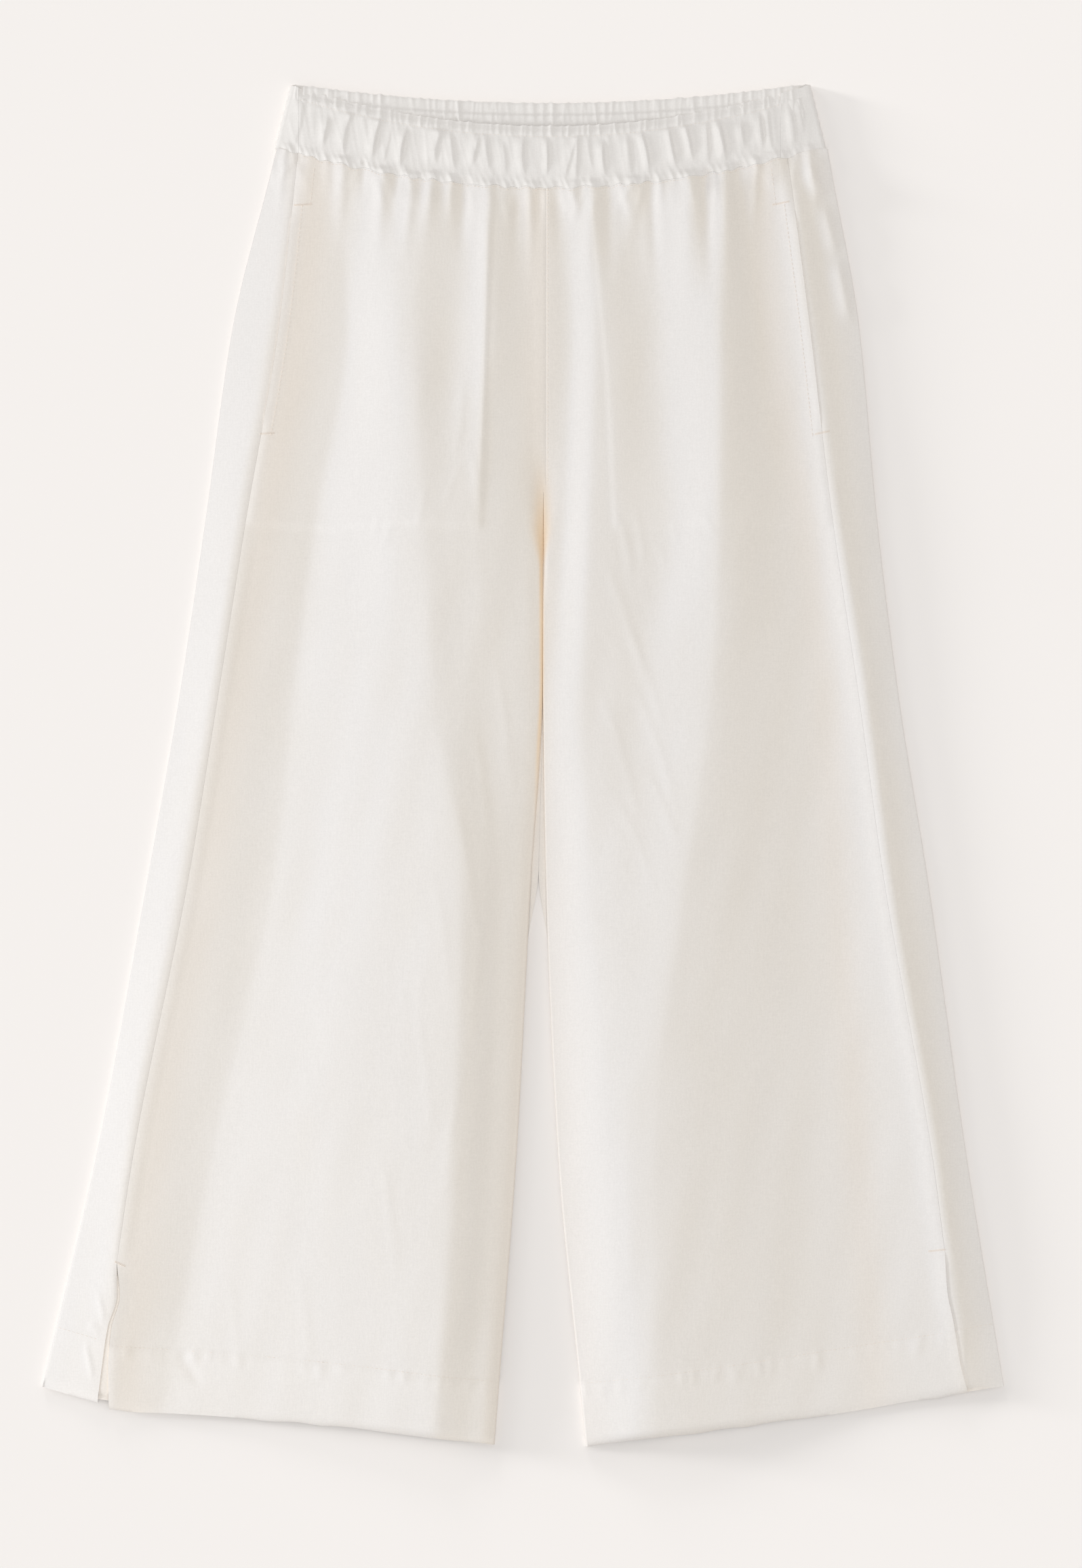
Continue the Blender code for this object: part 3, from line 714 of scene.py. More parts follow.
def linen(name, cool, warm, deep):
    """Woven linen: warp and weft slubs, painted warm shade where it turns from the window and in its
    hollows, more body on two plies.
    """
    material, tree, shader = new_material(name)
    # point attributes: painted warm shade, painted shade in hollows, and plies, which also carries
    # painted shade on a side fold
    warmth, depth, plies = (
        node(tree, "ShaderNodeAttribute", {"attribute_name": tint}).outputs["Fac"]
        for tint in ("warmth", "depth", "plies"))
    weave, mottle = weave_of(tree), patches(tree, 40.0, 80.0, 3.0)

    # the tone: painted shade from cool to warm where the cloth turns away from the window, broken by
    # a random mottle, and painted shade in the fork and troughs towards a darker warm colour
    shift = node(tree, "ShaderNodeMath", MULTIPLY_ADD, {1: 1.0, 2: -0.2}, {0: warmth})
    warmer = node(tree, "ShaderNodeMath", MULTIPLY_ADD, {1: 0.4}, {0: mottle, 2: shift.outputs[0]})
    tone = node(tree, "ShaderNodeMix", COLOUR_MIX, {6: linear(cool), 7: linear(warm)},
                {0: warmer.outputs[0]})
    tone = node(tree, "ShaderNodeMix", COLOUR_MIX, {7: linear(deep)},
                {0: depth, 6: tone.outputs[2]})

    # how light it is: a little more on two plies, darker as painted shade where plies is below 0 on a
    # side fold, and broken up by the weave
    body = node(tree, "ShaderNodeMath", MULTIPLY_ADD, {1: 0.012, 2: 0.9}, {0: plies})
    light = node(tree, "ShaderNodeMath", MULTIPLY_ADD, {1: 0.09}, {0: weave, 2: body.outputs[0]})
    shade = node(tree, "ShaderNodeVectorMath", {"operation": "SCALE"},
                 links={0: tone.outputs[2], "Scale": light.outputs[0]})
    relief = node(tree, "ShaderNodeBump", inputs={"Strength": 0.6, "Distance": WEAVE_BUMP * MM},
                  links={"Height": weave})
    tree.links.new(shade.outputs[0], shader.inputs["Base Color"])
    tree.links.new(relief.outputs[0], shader.inputs["Normal"])
    for label, value in (("Roughness", 0.9), ("Specular IOR Level", 0.2),
                         ("Sheen Weight", 0.08), ("Sheen Roughness", 0.5)):
        shader.inputs[label].default_value = value
    return material


# each linen: cool where it faces the window, warm as painted shade where it turns away, and the
# colour of the painted shade in its hollows
body_linen = linen("woven linen, off-white", "#F0ECE9", "#F2EBE2", "#F4D8B6")
casing_linen = linen("woven linen, gathered casing", "#F1EDE9", "#F0ECE5", "#ECDCC4")
bag_linen = linen("woven linen, pocket bag", "#E6E2DC", "#E6E0D6", "#E0D0B8")
print("three linens, slubs", SLUB_LENGTH, "by", SLUB_WIDTH, "mm")

# %% [markdown]
# The tone of each point is painted shade worked out from the height map: the cloth is
# painted a little warmer where it turns away from the window, and clearly warmer in the fork
# and the troughs, where light reaches it only from cloth to cloth.

# %% Painted shade of the cloth
# painted shade: how steeply the cloth falls away from the window, to the right
FALL = -np.gradient(blurred(height_map, 2.5), GRID, axis=1)
# the line of the fork, where the strongest painted shade lies
FORK = [(230.0, 13.8), (193.0, 12.8), (134.0, 12.4), (60.0, 12.6), (0.0, 10.0)]
SHADE_CUT_AT_EDGE = {"right": 0.7, "left": 0.6}     # the painted warm shade is weaker along the outer folds, by this share


def painted_shade(x, y):
    """Painted shade of the linen at points of the upper face: its warmth and its depth."""
    upper = ease((y - 150) / 60)
    deep = [                                # painted shade in hollows: its line, half width, strength
        (line(FORK, y), 1.4 + 4.2 * ease((y - 130) / 30),
         0.85 * ease((214 - y) / 70) * ease((y + 60) / 100)),
        (outseam_x("right", y) + 13, 14, 0.10 + 0.03 * upper),
        (fold_line("left", "side trough", y), 11, 0.08),
        (fold_line("right", "inner edge", y), 8, 0.1 * ease((200 - y) / 60)),
        (fold_line("left", "inner trough", y), 12, 0.06 * ease((60 - y) / 160)),
        (10, 11, 0.1 * upper)]
    depth = sum(strength * bell(x - at, wide) for at, wide, strength in deep)
    # painted warm shade where the cloth falls away from the window
    warmth = np.clip(0.45 + 2.2 * sampled(FALL, x, y), 0, 1)
    for side, cool in SHADE_CUT_AT_EDGE.items():
        beside = 1 - ease(np.abs(x - fold_line(side, "outer edge", y)) / 22)
        warmth = warmth * (1 - cool * beside)
    return {"warmth": warmth, "depth": depth}


def painted_shade_below(side, x, y):
    """The same painted shade for the back panel on the table: warm, and deeper where it shows inside
    a slit.
    """
    off = x - line(SLIT_EDGE["front", side], y)
    return {"warmth": 0.6 + 0 * x,
            "depth": 0.1 * ease((SLIT_TOP[side] + 10 - y) / 20) * bell(off, 14)}


print("steepest fall", round(float(FALL.max()), 2), "and rise", round(float(-FALL.min()), 2))

# %% [markdown]
# ## Front panels
#
# Each front runs from the centre seam and the inseam out to the outseam. Its grid follows
# those two edges, and its rows run from the waist seam to the hem. The heights come from
# the map. Along the open mouth of the pocket the front's folded edge lies on top of the
# back, so it is lifted there.

# %% Fronts
LEG_ROWS, FRONT_COLUMNS = 330, 108
DOWN = np.linspace(0, 1, LEG_ROWS)[:, None]     # 0 at the waist seam, 1 at the hem
JOIN = 0.03                                 # half of the gap left at a seam
MOUTH = (220.0, 372.0)                      # open part of the pocket, low and high Y
LIP = np.array([0.0, 0.1, 0.3, 0.6, 1.0, 1.5, 2.2, 3.0, 4.0])    # mm from the inner edge
TOUCH_Y = 34.0                              # the inseams touch from the fork down to here
HEM_BEND = 7.0
MOUTH_LIFT = 0.9                            # mm, the folded edge of a pocket's mouth
SLIT_LIFT = {"right": 0.3, "left": 0.7}     # mm, the free edge of the front


def settle(x_of, y_top, y_foot, down):
    """X and Y of a grid: X depends on Y along an edge, and Y on X along a hem."""
    y = mix(400.0, -430.0, down)
    for _ in range(5):
        x = x_of(y)
        y = mix(y_top(x), y_foot(x), down)
    return x, y


def ply_count(side, x, y):
    """1 where cloth lies double: hems and pocket bags."""
    hem = ease((hem_y(side, x) + HEM_DEPTH - y) / 1.5 + 0.5)
    inside = SIDES[side] * (x - line(BAG_INNER[side], y))
    return np.maximum(hem, 0.5 * ease(inside / 2 + 0.5) * ease((y - BAG_FOOT) / 2 + 0.5))


def cloth_thickness(side, x, y, panel):
    """One ply of linen, and more in the turned hem."""
    return mix(LINEN, HEM_PLIES, ease((hem_y(side, x, panel) + HEM_DEPTH - y) / 2))


def inner_x(side, y):
    """Centre seam above the fork and inseam below it."""
    seam = CENTRE_X + SIDES[side] * JOIN
    return np.where(y > FORK_Y, seam, fold_line(side, "inner edge", y))


def rolled(side, x, y, z):
    """Heights with the inseam edge rounded down, tightly where the two legs touch."""
    apart = ease((TOUCH_Y + 20 - y) / 60)
    t = np.clip(1 - np.abs(x - inner_x(side, y)) / mix(1.2, 1.0, apart), 0, 1)
    drop = mix(0.8, z - 1.9, apart) * ease((FORK_Y - y) / 20)
    return z - drop * (1 - np.sqrt(1 - t ** 2))


def hem_drop(side, x, y, panel):
    """Height that the cloth loses where the hem bends down to the table."""
    bend = np.clip(1 - (y - hem_y(side, x, panel)) / HEM_BEND, 0, 1) ** 2
    return 0.95 * bend * np.maximum(height(x, y) - 2.7, 0)


def front(side):
    """One front panel as a shell."""
    sign = SIDES[side]
    out = np.r_[np.zeros(len(LIP)), np.linspace(0, 1, FRONT_COLUMNS + 1)[1:]]
    lip = np.r_[LIP, np.full(FRONT_COLUMNS, LIP[-1])]

    def x_of(y):
        inner = inner_x(side, y) + sign * lip
        return mix(inner, outseam_x(side, y) - sign * JOIN, out)

    x, y = settle(x_of, lambda x: seam_y(x, 1.0) - JOIN, lambda x: hem_y(side, x), DOWN)
    y = y + DOWN ** 8 * 0.5 * np.sin(x / 9.0 + np.sin(x / 23.0) * 2)
    edge = sign * (outseam_x(side, y) - x)
    lifted = (MOUTH_LIFT * between(y, *MOUTH, 15) * bell(edge, 2.5)
              + SLIT_LIFT[side] * ease((SLIT_TOP[side] - y) / 12) * bell(edge, 4.5))
    thick = cloth_thickness(side, x, y, "front")
    z = rolled(side, x, y, height(x, y)) + lifted - hem_drop(side, x, y, "front")
    z = np.maximum(z, thick + 0.05)
    piece = shell("front_%s_cloth" % side, np.stack([x, y, z], -1),
                  np.stack([x, y, z - thick], -1), body_linen,
                  plies=ply_count(side, x, y), **painted_shade(x, y))
    return place(piece, "front_" + side, "linen")


for side in SIDES:
    front(side)

# %% [markdown]
# ## Back panels
#
# A back lies flat on the table, turns softly round the side of the leg and comes up to the
# outseam. Its section is a strip of three parts. The one on the table needs few columns,
# except beside the slit, where the cloth inside the leg rises into view.

# %% Backs on the table
NEAR_SLIT = 9.0                             # mm on both sides of the slit with close columns
# columns: 0 to 1 up to the slit, 1 to 2 past it, 2 to 3 on to the turn
FLOOR_SHARE = np.r_[np.linspace(0, 1, 26), np.linspace(1, 2, 19)[1:], np.linspace(2, 3, 9)[1:]]
TURN_SHARE = 0.35                           # the side fold is pressed: narrower than half round
SLIT_BULGE, SLIT_DEPTH = 5.0, 0.6           # mm, the back rises inside the slit


def under_edge_x(side, y):
    """Inner edge of a back: below the fork the two backs touch for longer than the fronts."""
    middle = 0.5 * (fold_line("right", "inner edge", y) + fold_line("left", "inner edge", y))
    touching = ease((y + 120) / 50) * (y < FORK_Y)
    return mix(inner_x(side, y), middle + SIDES[side] * JOIN, touching)


def turn_radius(side, y):
    """Half the height of the cloth at the side of the leg."""
    return 0.5 * height(fold_line(side, "outer edge", y) - SIDES[side] * 0.7, y)


def turn_start_x(side, y):
    """X where the cloth leaves the table and, above it, where it meets the upper strip."""
    pressed = TURN_SHARE * turn_radius(side, y)
    return fold_line(side, "outer edge", y) - SIDES[side] * pressed


def raised_in_slit(side, x, y):
    """Height over the table of the back's lower face, which shows inside the slit."""
    sign = SIDES[side]
    near = bell(x - under_edge_x(side, y), 7)
    meet = (height(x, y) - 3.2) * near * ease((FORK_Y - y) / 20) * ease((y + 125) / 140)
    off = sign * (x - line(SLIT_EDGE["front", side], y))
    low = mix(0.7, 1.0, ease((y - hem_y(side, x, "back")) / 40))
    low = low + 0.35 * bell(y - SLIT_TOP[side] + 4, 16)
    below_slit_top = ease((SLIT_TOP[side] + 20 - y) / 18)
    bulge = np.maximum(meet, 0) + SLIT_BULGE * low * below_slit_top * bell(off - 5, 14)
    gap = sign * (line(SLIT_EDGE["back", side], y) - line(SLIT_EDGE["front", side], y))
    shows = ease((off + 2) / 2) * ease((gap - off + 2) / 2) * ease(gap / 2)
    level = (height(x, y) - hem_drop(side, x, y, "back") - SLIT_DEPTH
             - cloth_thickness(side, x, y, "back"))
    return mix(bulge, np.maximum(level, bulge), shows * ease((SLIT_TOP[side] - y) / 12))


def back_on_table(side):
    """Lower face, upper face, plies, and the painted shade, warm and in hollows, of the part on the
    table.
    """
    sign = SIDES[side]
    first, second, third = (np.clip(FLOOR_SHARE - i, 0, 1) for i in range(3))

    def x_of(y):
        inner, turn, slit = under_edge_x(side, y), turn_start_x(side, y), outseam_x(side, y)
        near, far = slit - sign * NEAR_SLIT, slit + sign * NEAR_SLIT
        return mix(inner, near, first) + (far - near) * second + (turn - far) * third

    x, y = settle(x_of, lambda x: seam_y(x, 0.0) - JOIN, lambda x: hem_y(side, x, "back"), DOWN)
    z = raised_in_slit(side, x, y)
    upper = z + cloth_thickness(side, x, y, "back")
    return (np.stack([x, y, z], -1), np.stack([x, y, upper], -1), ply_count(side, x, y),
            *painted_shade_below(side, x, y).values())


# %% [markdown]
# The turn is half a circle, pressed narrow, whose diameter is the height of the cloth there.
# The strip beyond it is on the upper face, so it reads the same map of heights as the front
# and needs as fine a grid.

# %% Backs round the side
TURN_COLUMNS, WRAP_COLUMNS = 10, 30
RIM_PAINTED_SHADE = {"right": -11.0, "left": 0.0}   # painted shade on the side fold that faces the window, given as a plies value


def back_turn(side):
    """The same for the turn round the side of the leg, seen from outside and inside."""
    sign = SIDES[side]
    turning = np.linspace(0, 1, TURN_COLUMNS + 2)[1:-1]
    x, y = settle(lambda y: fold_line(side, "outer edge", y),
                  lambda x: seam_y(x, turning) - JOIN, lambda x: hem_y(side, x, "wrap"), DOWN)
    x = x + 0 * y                           # one X for every point of the turn
    r = turn_radius(side, y)
    angle = math.pi * (turning - 0.5)
    outer = np.stack([x - sign * TURN_SHARE * r * (1 - np.cos(angle)), y,
                      r + r * np.sin(angle)], -1)
    s = np.maximum(r - cloth_thickness(side, x, y, "back"), 0.12)
    inner = np.stack([x - sign * (TURN_SHARE * r + 0.15 - 0.3 * s * np.cos(angle)), y,
                      r + s * np.sin(angle)], -1)
    # painted shade: the plies value on the turn darkens the fold by the window
    return outer, inner, RIM_PAINTED_SHADE[side] + 0 * y, *painted_shade(x, y).values()


def back_strip(side):
    """The same for the strip on the upper face, from the turn to the outseam or the slit."""
    sign = SIDES[side]
    share = np.linspace(0, 1, WRAP_COLUMNS)
    x, y = settle(lambda y: mix(turn_start_x(side, y), outseam_x(side, y, "back") + sign * JOIN,
                                share),
                  lambda x: seam_y(x, 1.0) - JOIN, lambda x: hem_y(side, x, "wrap"), DOWN)
    beside_slit = 1.5 - sign * (x - outseam_x(side, y)) / 2
    under = ease((SLIT_TOP[side] + 2 - y) / 12) * ease(beside_slit)
    z = height(x, y) - hem_drop(side, x, y, "wrap") - 0.5 * under
    lower = z - cloth_thickness(side, x, y, "back")
    plies = ease((hem_y(side, x, "wrap") + HEM_DEPTH - y) / 1.5)
    return np.stack([x, y, z], -1), np.stack([x, y, lower], -1), plies, *painted_shade(x, y).values()


def back(side):
    """One back panel as a shell, from the inseam over the table and round the side."""
    parts = back_on_table(side), back_turn(side), back_strip(side)
    outer, inner, plies, warmth, depth = (np.concatenate(field, 1) for field in zip(*parts))
    piece = shell("back_%s_cloth" % side, outer, inner, body_linen,
                  plies=plies, warmth=warmth, depth=depth)
    return place(piece, "back_" + side, "linen")


for side in SIDES:
    back(side)

# %% [markdown]
# ## Pocket bags
#
# The bags are hidden, but they are part of the garment: a thin flat bag just under each
# front, made from the front's own heights moved down.

# %% Bags
BAG_DROP, BAG_PLIES = 1.3, 0.9             # mm under the front, and its own two plies
BAG_ROWS, BAG_COLUMNS = 60, 40


def bag(side):
    """One pocket bag as a flat shell under the front."""
    down, out = np.linspace(0, 1, BAG_ROWS)[:, None], np.linspace(0, 1, BAG_COLUMNS)

    def x_of(y):
        return mix(line(BAG_INNER[side], y), outseam_x(side, y) + SIDES[side] * 3.0, out)

    x, y = settle(x_of, lambda x: seam_y(x, 1.0) - 1.0, lambda x: BAG_FOOT, down)
    z = height(x, y) - BAG_DROP
    face, under = np.stack([x, y, z], -1), np.stack([x, y, z - BAG_PLIES], -1)
    piece = shell("pocket_bag_%s_cloth" % side, face, under, bag_linen)
    return place(piece, "pocket_bag_" + side, "pocketing")


for side in SIDES:
    bag(side)

# %% [markdown]
# ## Elastic casing
#
# The casing is a doubled strip of the same linen with elastic pulled through. A row of
# stitches just below the top edge leaves a narrow ruffled header, and the waist seam closes
# the foot. Between them the cloth stands in upright folds, no two alike, fanning out a
# little towards the sides. Those folds are placed one by one; the fine ruffles of the
# header come from a rule with a fixed seed.

# %% Casing relief
HEADER, FOOT = 0.82, 0.12                  # where the two rows of stitches run
TWO_PLIES, WITH_ELASTIC = 1.3, 2.7         # mm
# X at the waist seam, X at the header, height, width of the left flank
BAND_FOLDS = [
    (-153.0, -147.5, 0.5, 5.0), (-134.7, -128.4, 0.9, 4.0), (-120.0, -114.4, 0.7, 4.0),
    (-101.0, -95.4, 1.1, 3.6), (-94.0, -87.7, 0.3, 3.4), (-81.8, -76.4, 1.1, 3.6),
    (-59.0, -54.7, 1.2, 6.0), (-45.7, -48.8, 0.7, 4.4), (-36.6, -29.4, 0.8, 4.0),
    (-20.8, -24.4, 0.6, 4.0), (-11.8, -15.0, 0.4, 4.4), (1.8, 0.5, 1.0, 4.4),
    (15.4, 15.8, 0.8, 2.8), (26.7, 34.8, 0.6, 4.4), (35.7, 36.6, 0.7, 3.4),
    (47.9, 43.8, 0.4, 4.4), (55.0, 53.3, 1.1, 3.6), (71.9, 69.2, 0.7, 4.4),
    (84.0, 78.6, 1.2, 3.4), (102.6, 96.7, 1.1, 3.6), (113.5, 108.0, 1.1, 3.6),
    (123.8, 122.0, 0.7, 3.6), (135.0, 129.3, 1.4, 4.4), (148.7, 144.2, 1.1, 5.0),
    (160.9, 156.9, 1.0, 3.8), (166.8, 163.2, 0.4, 3.0), (181.3, 177.2, 0.8, 3.6),
    (188.5, 183.5, 0.6, 3.0)]
FOLD_SIZE, FOLD_TAIL = 2.2, 0.34           # over the table's heights; right flank over left


def header_ruffles(x, lean_by):
    """The fine ruffles above the top row of stitches."""
    return ruffles(x, lean_by, 4.6, 5)


def casing_relief(x, up):
    """Heights of the casing's folds over its base: x across, up 0..1."""
    draw = np.random.default_rng(31)
    t = (up - FOOT) / (HEADER - FOOT)
    total = 0.6 * ruffles(x, up - 0.5, 17.0, 27)
    for low, high, rise, width in BAND_FOLDS:
        bow, foot, head = draw.uniform(-1.8, 1.8), draw.uniform(-0.3, 0.15), draw.uniform(0.85, 1.2)
        off = x - mix(low, high, t) - bow * 4 * t * (1 - t)
        along = ease((t - foot) / 0.4) * ease((head - t) / 0.3)
        flank = width * np.where(off < 0, 1.0, FOLD_TAIL)
        total = total + FOLD_SIZE * rise * along * bell(off, flank)
    fine = 0.22 * ruffles(x, up - 0.5, 7.5, 13) + 0.3 * ruffles(x + 9 * up, up - 0.5, 5.2, 19)
    header = 0.85 * header_ruffles(x, 0.5 - up)
    own = mix(total + fine, header, ease((up - HEADER + 0.03) / 0.06))
    return own - 0.2 * bell(up - HEADER, 0.02)


def casing_height(x, y, up):
    """Upper face of the casing. Its foot runs on from the gathers below the waist seam."""
    own = band_height(x, up) + casing_relief(x, up)
    return mix(height(x, y), own, ease(up / 0.4))


def casing_thickness(up):
    """Two plies in the header and at the seam, and elastic between the rows."""
    elastic = ease((up - FOOT) / 0.08) * ease((HEADER - up) / 0.05)
    return mix(TWO_PLIES, WITH_ELASTIC, elastic)


print(len(BAND_FOLDS), "upright folds across the front of the casing")

# %% [markdown]
# The front half of the casing lies over the back half and bows up a little between the
# sides. Its top edge is not straight: every ruffle of the header pushes it up or down.

# %% Casing pieces
BAND_ROWS, BAND_COLUMNS = 46, 560
END_COLUMNS, CASING_TURN = 40, 16          # on the upper face and round the side
BAND_LIFT = 3.4                            # mm, the back of the waist springs off the table
TURN_RADIUS = 0.5 * BAND_SIDE_Z


def casing_grid(x, layer, up):
    """Y on the casing: between the waist seam and the top edge, which is ruffled."""
    wobble = 0.7 * (header_ruffles(x, -0.5) - 0.7)
    return mix(seam_y(x, layer) + JOIN, top_y(x, layer), up) + wobble * up ** 6


def casing_front():
    """The front half as a shell, between the two side seams."""
    up, across = np.meshgrid(np.linspace(0, 1, BAND_ROWS), np.linspace(0, 1, BAND_COLUMNS),
                             indexing="ij")
    x = mix(BAND_SEAM["right"] + JOIN, BAND_SEAM["left"] - JOIN, across)
    y = casing_grid(x, 1.0, up)
    z = casing_height(x, y, up) - 2.0 * ease((up - 0.8) / 0.2) ** 2
    under = np.minimum(z - 0.6, mix(z, band_height(x, up), 0.5) - casing_thickness(up))
    piece = shell("waistband_front_cloth", np.stack([x, y, z], -1), np.stack([x, y, under], -1),
                  casing_linen)
    return place(piece, "waistband_front", "casing")


def casing_end(side, up):
    """One end of the back half on the upper face, and its turn, from the seam outwards."""
    sign, r = SIDES[side], TURN_RADIUS
    centre = mix(*BAND_EDGE[side], up) - sign * r
    share = np.linspace(0, 1, END_COLUMNS)
    x = mix(BAND_SEAM[side] + sign * JOIN, centre, share)
    y = casing_grid(x, 1.0, up)
    z = mix(casing_height(x, y, up + 0 * x), 2 * r, share ** 3)
    turn = np.linspace(0, 1, CASING_TURN + 2)[1:-1]
    ys = mix(seam_y(centre, 1 - turn) + JOIN, top_y(centre, 1 - turn), up)

    def turned(wide, high):
        """Points round the side, a half circle of that width and height."""
        angle = math.pi * (0.5 - turn)
        return np.stack([centre + sign * wide * np.cos(angle), ys,
                         r + high * np.sin(angle) + 0 * ys], -1)

    thin = np.maximum(r - casing_thickness(up), 0.6)
    gather = 0.25 * np.sin(up * 40 + turn * 9)
    outside = np.concatenate([np.stack([x, y, z], -1), turned(r + gather, r)], 1)
    lining = np.stack([x, y, z - casing_thickness(up)], -1)
    return outside, np.concatenate([lining, turned(thin, thin)], 1)


def casing_back():
    """Up from the right side seam, round the side, along the table and up the other side."""
    up = np.linspace(0, 1, BAND_ROWS)[:, None]
    start, end = (mix(*BAND_EDGE[side], up) - SIDES[side] * TURN_RADIUS for side in SIDES)
    x = mix(start, end, np.linspace(0, 1, BAND_COLUMNS))
    y = casing_grid(x, 0.0, up)
    ends = between(x, start, end, 8)
    folds = 0.55 * ruffles(x, up - 0.5, 7.0, 21) + 0.65 * ruffles(x, 0.5 - up, 4.4, 23)
    lift = BAND_LIFT * ends * ease((up - 0.25) / 0.3)
    z = casing_thickness(up) + lift + (folds + 0.8) * ends - 0.5 * ease((up - 0.95) / 0.05) ** 2
    right_out, right_in = casing_end("right", up)
    left_out, left_in = casing_end("left", up)
    outer = np.concatenate([right_out, np.stack([x, y, lift], -1), left_out[:, ::-1]], 1)
    inner = np.concatenate([right_in, np.stack([x, y, z], -1), left_in[:, ::-1]], 1)
    piece = shell("waistband_back_cloth", outer, inner, casing_linen)
    return place(piece, "waistband_back", "casing")


casing_front()
casing_back()

# %% [markdown]
# ## Stitches
#
# Plain machine stitches in a thread a little warmer than the linen, about three to the
# centimetre, each a small bead that sinks at its ends. One node tree turns any set of lines
# into rows of them. Bartacks are the same thread, packed close in three short rows, where a
# pocket mouth or a slit ends.

# %% Stitch tree


def stitch_tree():
    """The node tree: even points along each row, and a bead of thread on each."""
    tree = bpy.data.node_groups.new("rows of stitches", "GeometryNodeTree")
    sockets = [("Rows", "Geometry"), ("Pitch", "Float"), ("Length", "Float"),
               ("Thickness", "Float"), ("Seed", "Int"), ("Thread", "Material")]
    for label, kind in sockets:
        tree.interface.new_socket(label, in_out="INPUT", socket_type="NodeSocket" + kind)
    tree.interface.new_socket("Stitches", in_out="OUTPUT", socket_type="NodeSocketGeometry")
    given = node(tree, "NodeGroupInput").outputs
    curve = node(tree, "GeometryNodeMeshToCurve", links={"Mesh": given["Rows"]})
    even = node(tree, "GeometryNodeResampleCurve", {"mode": "LENGTH"},
                links={"Curve": curve.outputs[0], "Length": given["Pitch"]})
    bead = node(tree, "GeometryNodeMeshUVSphere", inputs={"Segments": 8, "Rings": 6, "Radius": 0.5})
    size = node(tree, "ShaderNodeCombineXYZ",
                links={"X": given["Length"], "Y": given["Thickness"], "Z": given["Thickness"]})
    uneven = node(tree, "FunctionNodeRandomValue", {"data_type": "FLOAT_VECTOR"},
                  {0: (0.85, 0.85, 0.8), 1: (1.08, 1.1, 1.1)}, {"Seed": given["Seed"]})
    sized = node(tree, "ShaderNodeVectorMath", {"operation": "MULTIPLY"},
                 links={0: size.outputs[0], 1: uneven.outputs[0]})
    along = node(tree, "FunctionNodeAlignRotationToVector", {"axis": "X"},
                 links={"Vector": node(tree, "GeometryNodeInputTangent").outputs[0]})
    placed = node(tree, "GeometryNodeInstanceOnPoints",
                  links={"Points": even.outputs[0], "Instance": bead.outputs["Mesh"],
                         "Rotation": along.outputs[0], "Scale": sized.outputs[0]})
    real = node(tree, "GeometryNodeRealizeInstances", links={0: placed.outputs[0]})
    smooth = node(tree, "GeometryNodeSetShadeSmooth", links={0: real.outputs[0]})
    thread = node(tree, "GeometryNodeSetMaterial",
                  links={"Geometry": smooth.outputs[0], "Material": given["Thread"]})
    node(tree, "NodeGroupOutput", links={0: thread.outputs[0]})
    return tree


def sew(name, rows, pitch=3.0, length=2.3, thickness=0.28, seed=1):
    """Rows of stitches along lines of points in millimetres, as one plain mesh."""
    points, edges = [], []
    for row in rows:
        edges += [(len(points) + i, len(points) + i + 1) for i in range(len(row) - 1)]
        points += [tuple(float(v) * MM for v in p) for p in row]
    mesh = bpy.data.meshes.new(name)
    mesh.from_pydata(points, edges, [])
    piece = bpy.data.objects.new(name, mesh)
    bpy.context.scene.collection.objects.link(piece)
    modifier = piece.modifiers.new("stitches", "NODES")
    modifier.node_group = stitches
    values = {"Pitch": pitch * MM, "Length": length * MM, "Thickness": thickness * MM,
              "Seed": seed, "Thread": thread}
    for socket in stitches.interface.items_tree:
        if socket.name in values:
            modifier[socket.identifier] = values[socket.name]
    made = piece.evaluated_get(bpy.context.evaluated_depsgraph_get())
    piece.data = bpy.data.meshes.new_from_object(made)
    piece.modifiers.clear()
    garment.append(piece)
    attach(piece, "root")
    print(f"{name}: {len(piece.data.polygons)} faces")
    return piece


def cotton(colour):
    """Soft spun thread, mottled by its twist, with little shine."""
    material, tree, shader = new_material("cotton sewing thread")
    where = node(tree, "ShaderNodeTexCoord").outputs["Object"]
    ply = node(tree, "ShaderNodeTexNoise", inputs={"Scale": 1 / (0.6 * MM), "Detail": 1.0},
               links={"Vector": where})
    tone = node(tree, "ShaderNodeMix", {"data_type": "RGBA"},
                {6: linear(colour), 7: linear("#F4EDE5")}, {0: ply.outputs["Fac"]})
    tree.links.new(tone.outputs[2], shader.inputs["Base Color"])
    shader.inputs["Roughness"].default_value = 0.7
    shader.inputs["Sheen Weight"].default_value = 0.1
    return material


stitches, thread = stitch_tree(), cotton("#F6E8DB")

# %% [markdown]
# Where the rows run: round each hem, beside each pocket mouth, beside the centre seam, just
# under the waist seam and under the header of the casing.

# %% Rows of stitches
THREAD_SINKS = 0.1                         # how far a stitch's middle lies in the cloth


def on_face(x, y, rise=0.17 - THREAD_SINKS):
    """Points on the upper face, raised so that a stitch's lower part is in the cloth."""
    x, y = np.broadcast_arrays(np.asarray(x, float), np.asarray(y, float))
    return np.stack([x, y, height(x, y) + rise], -1)


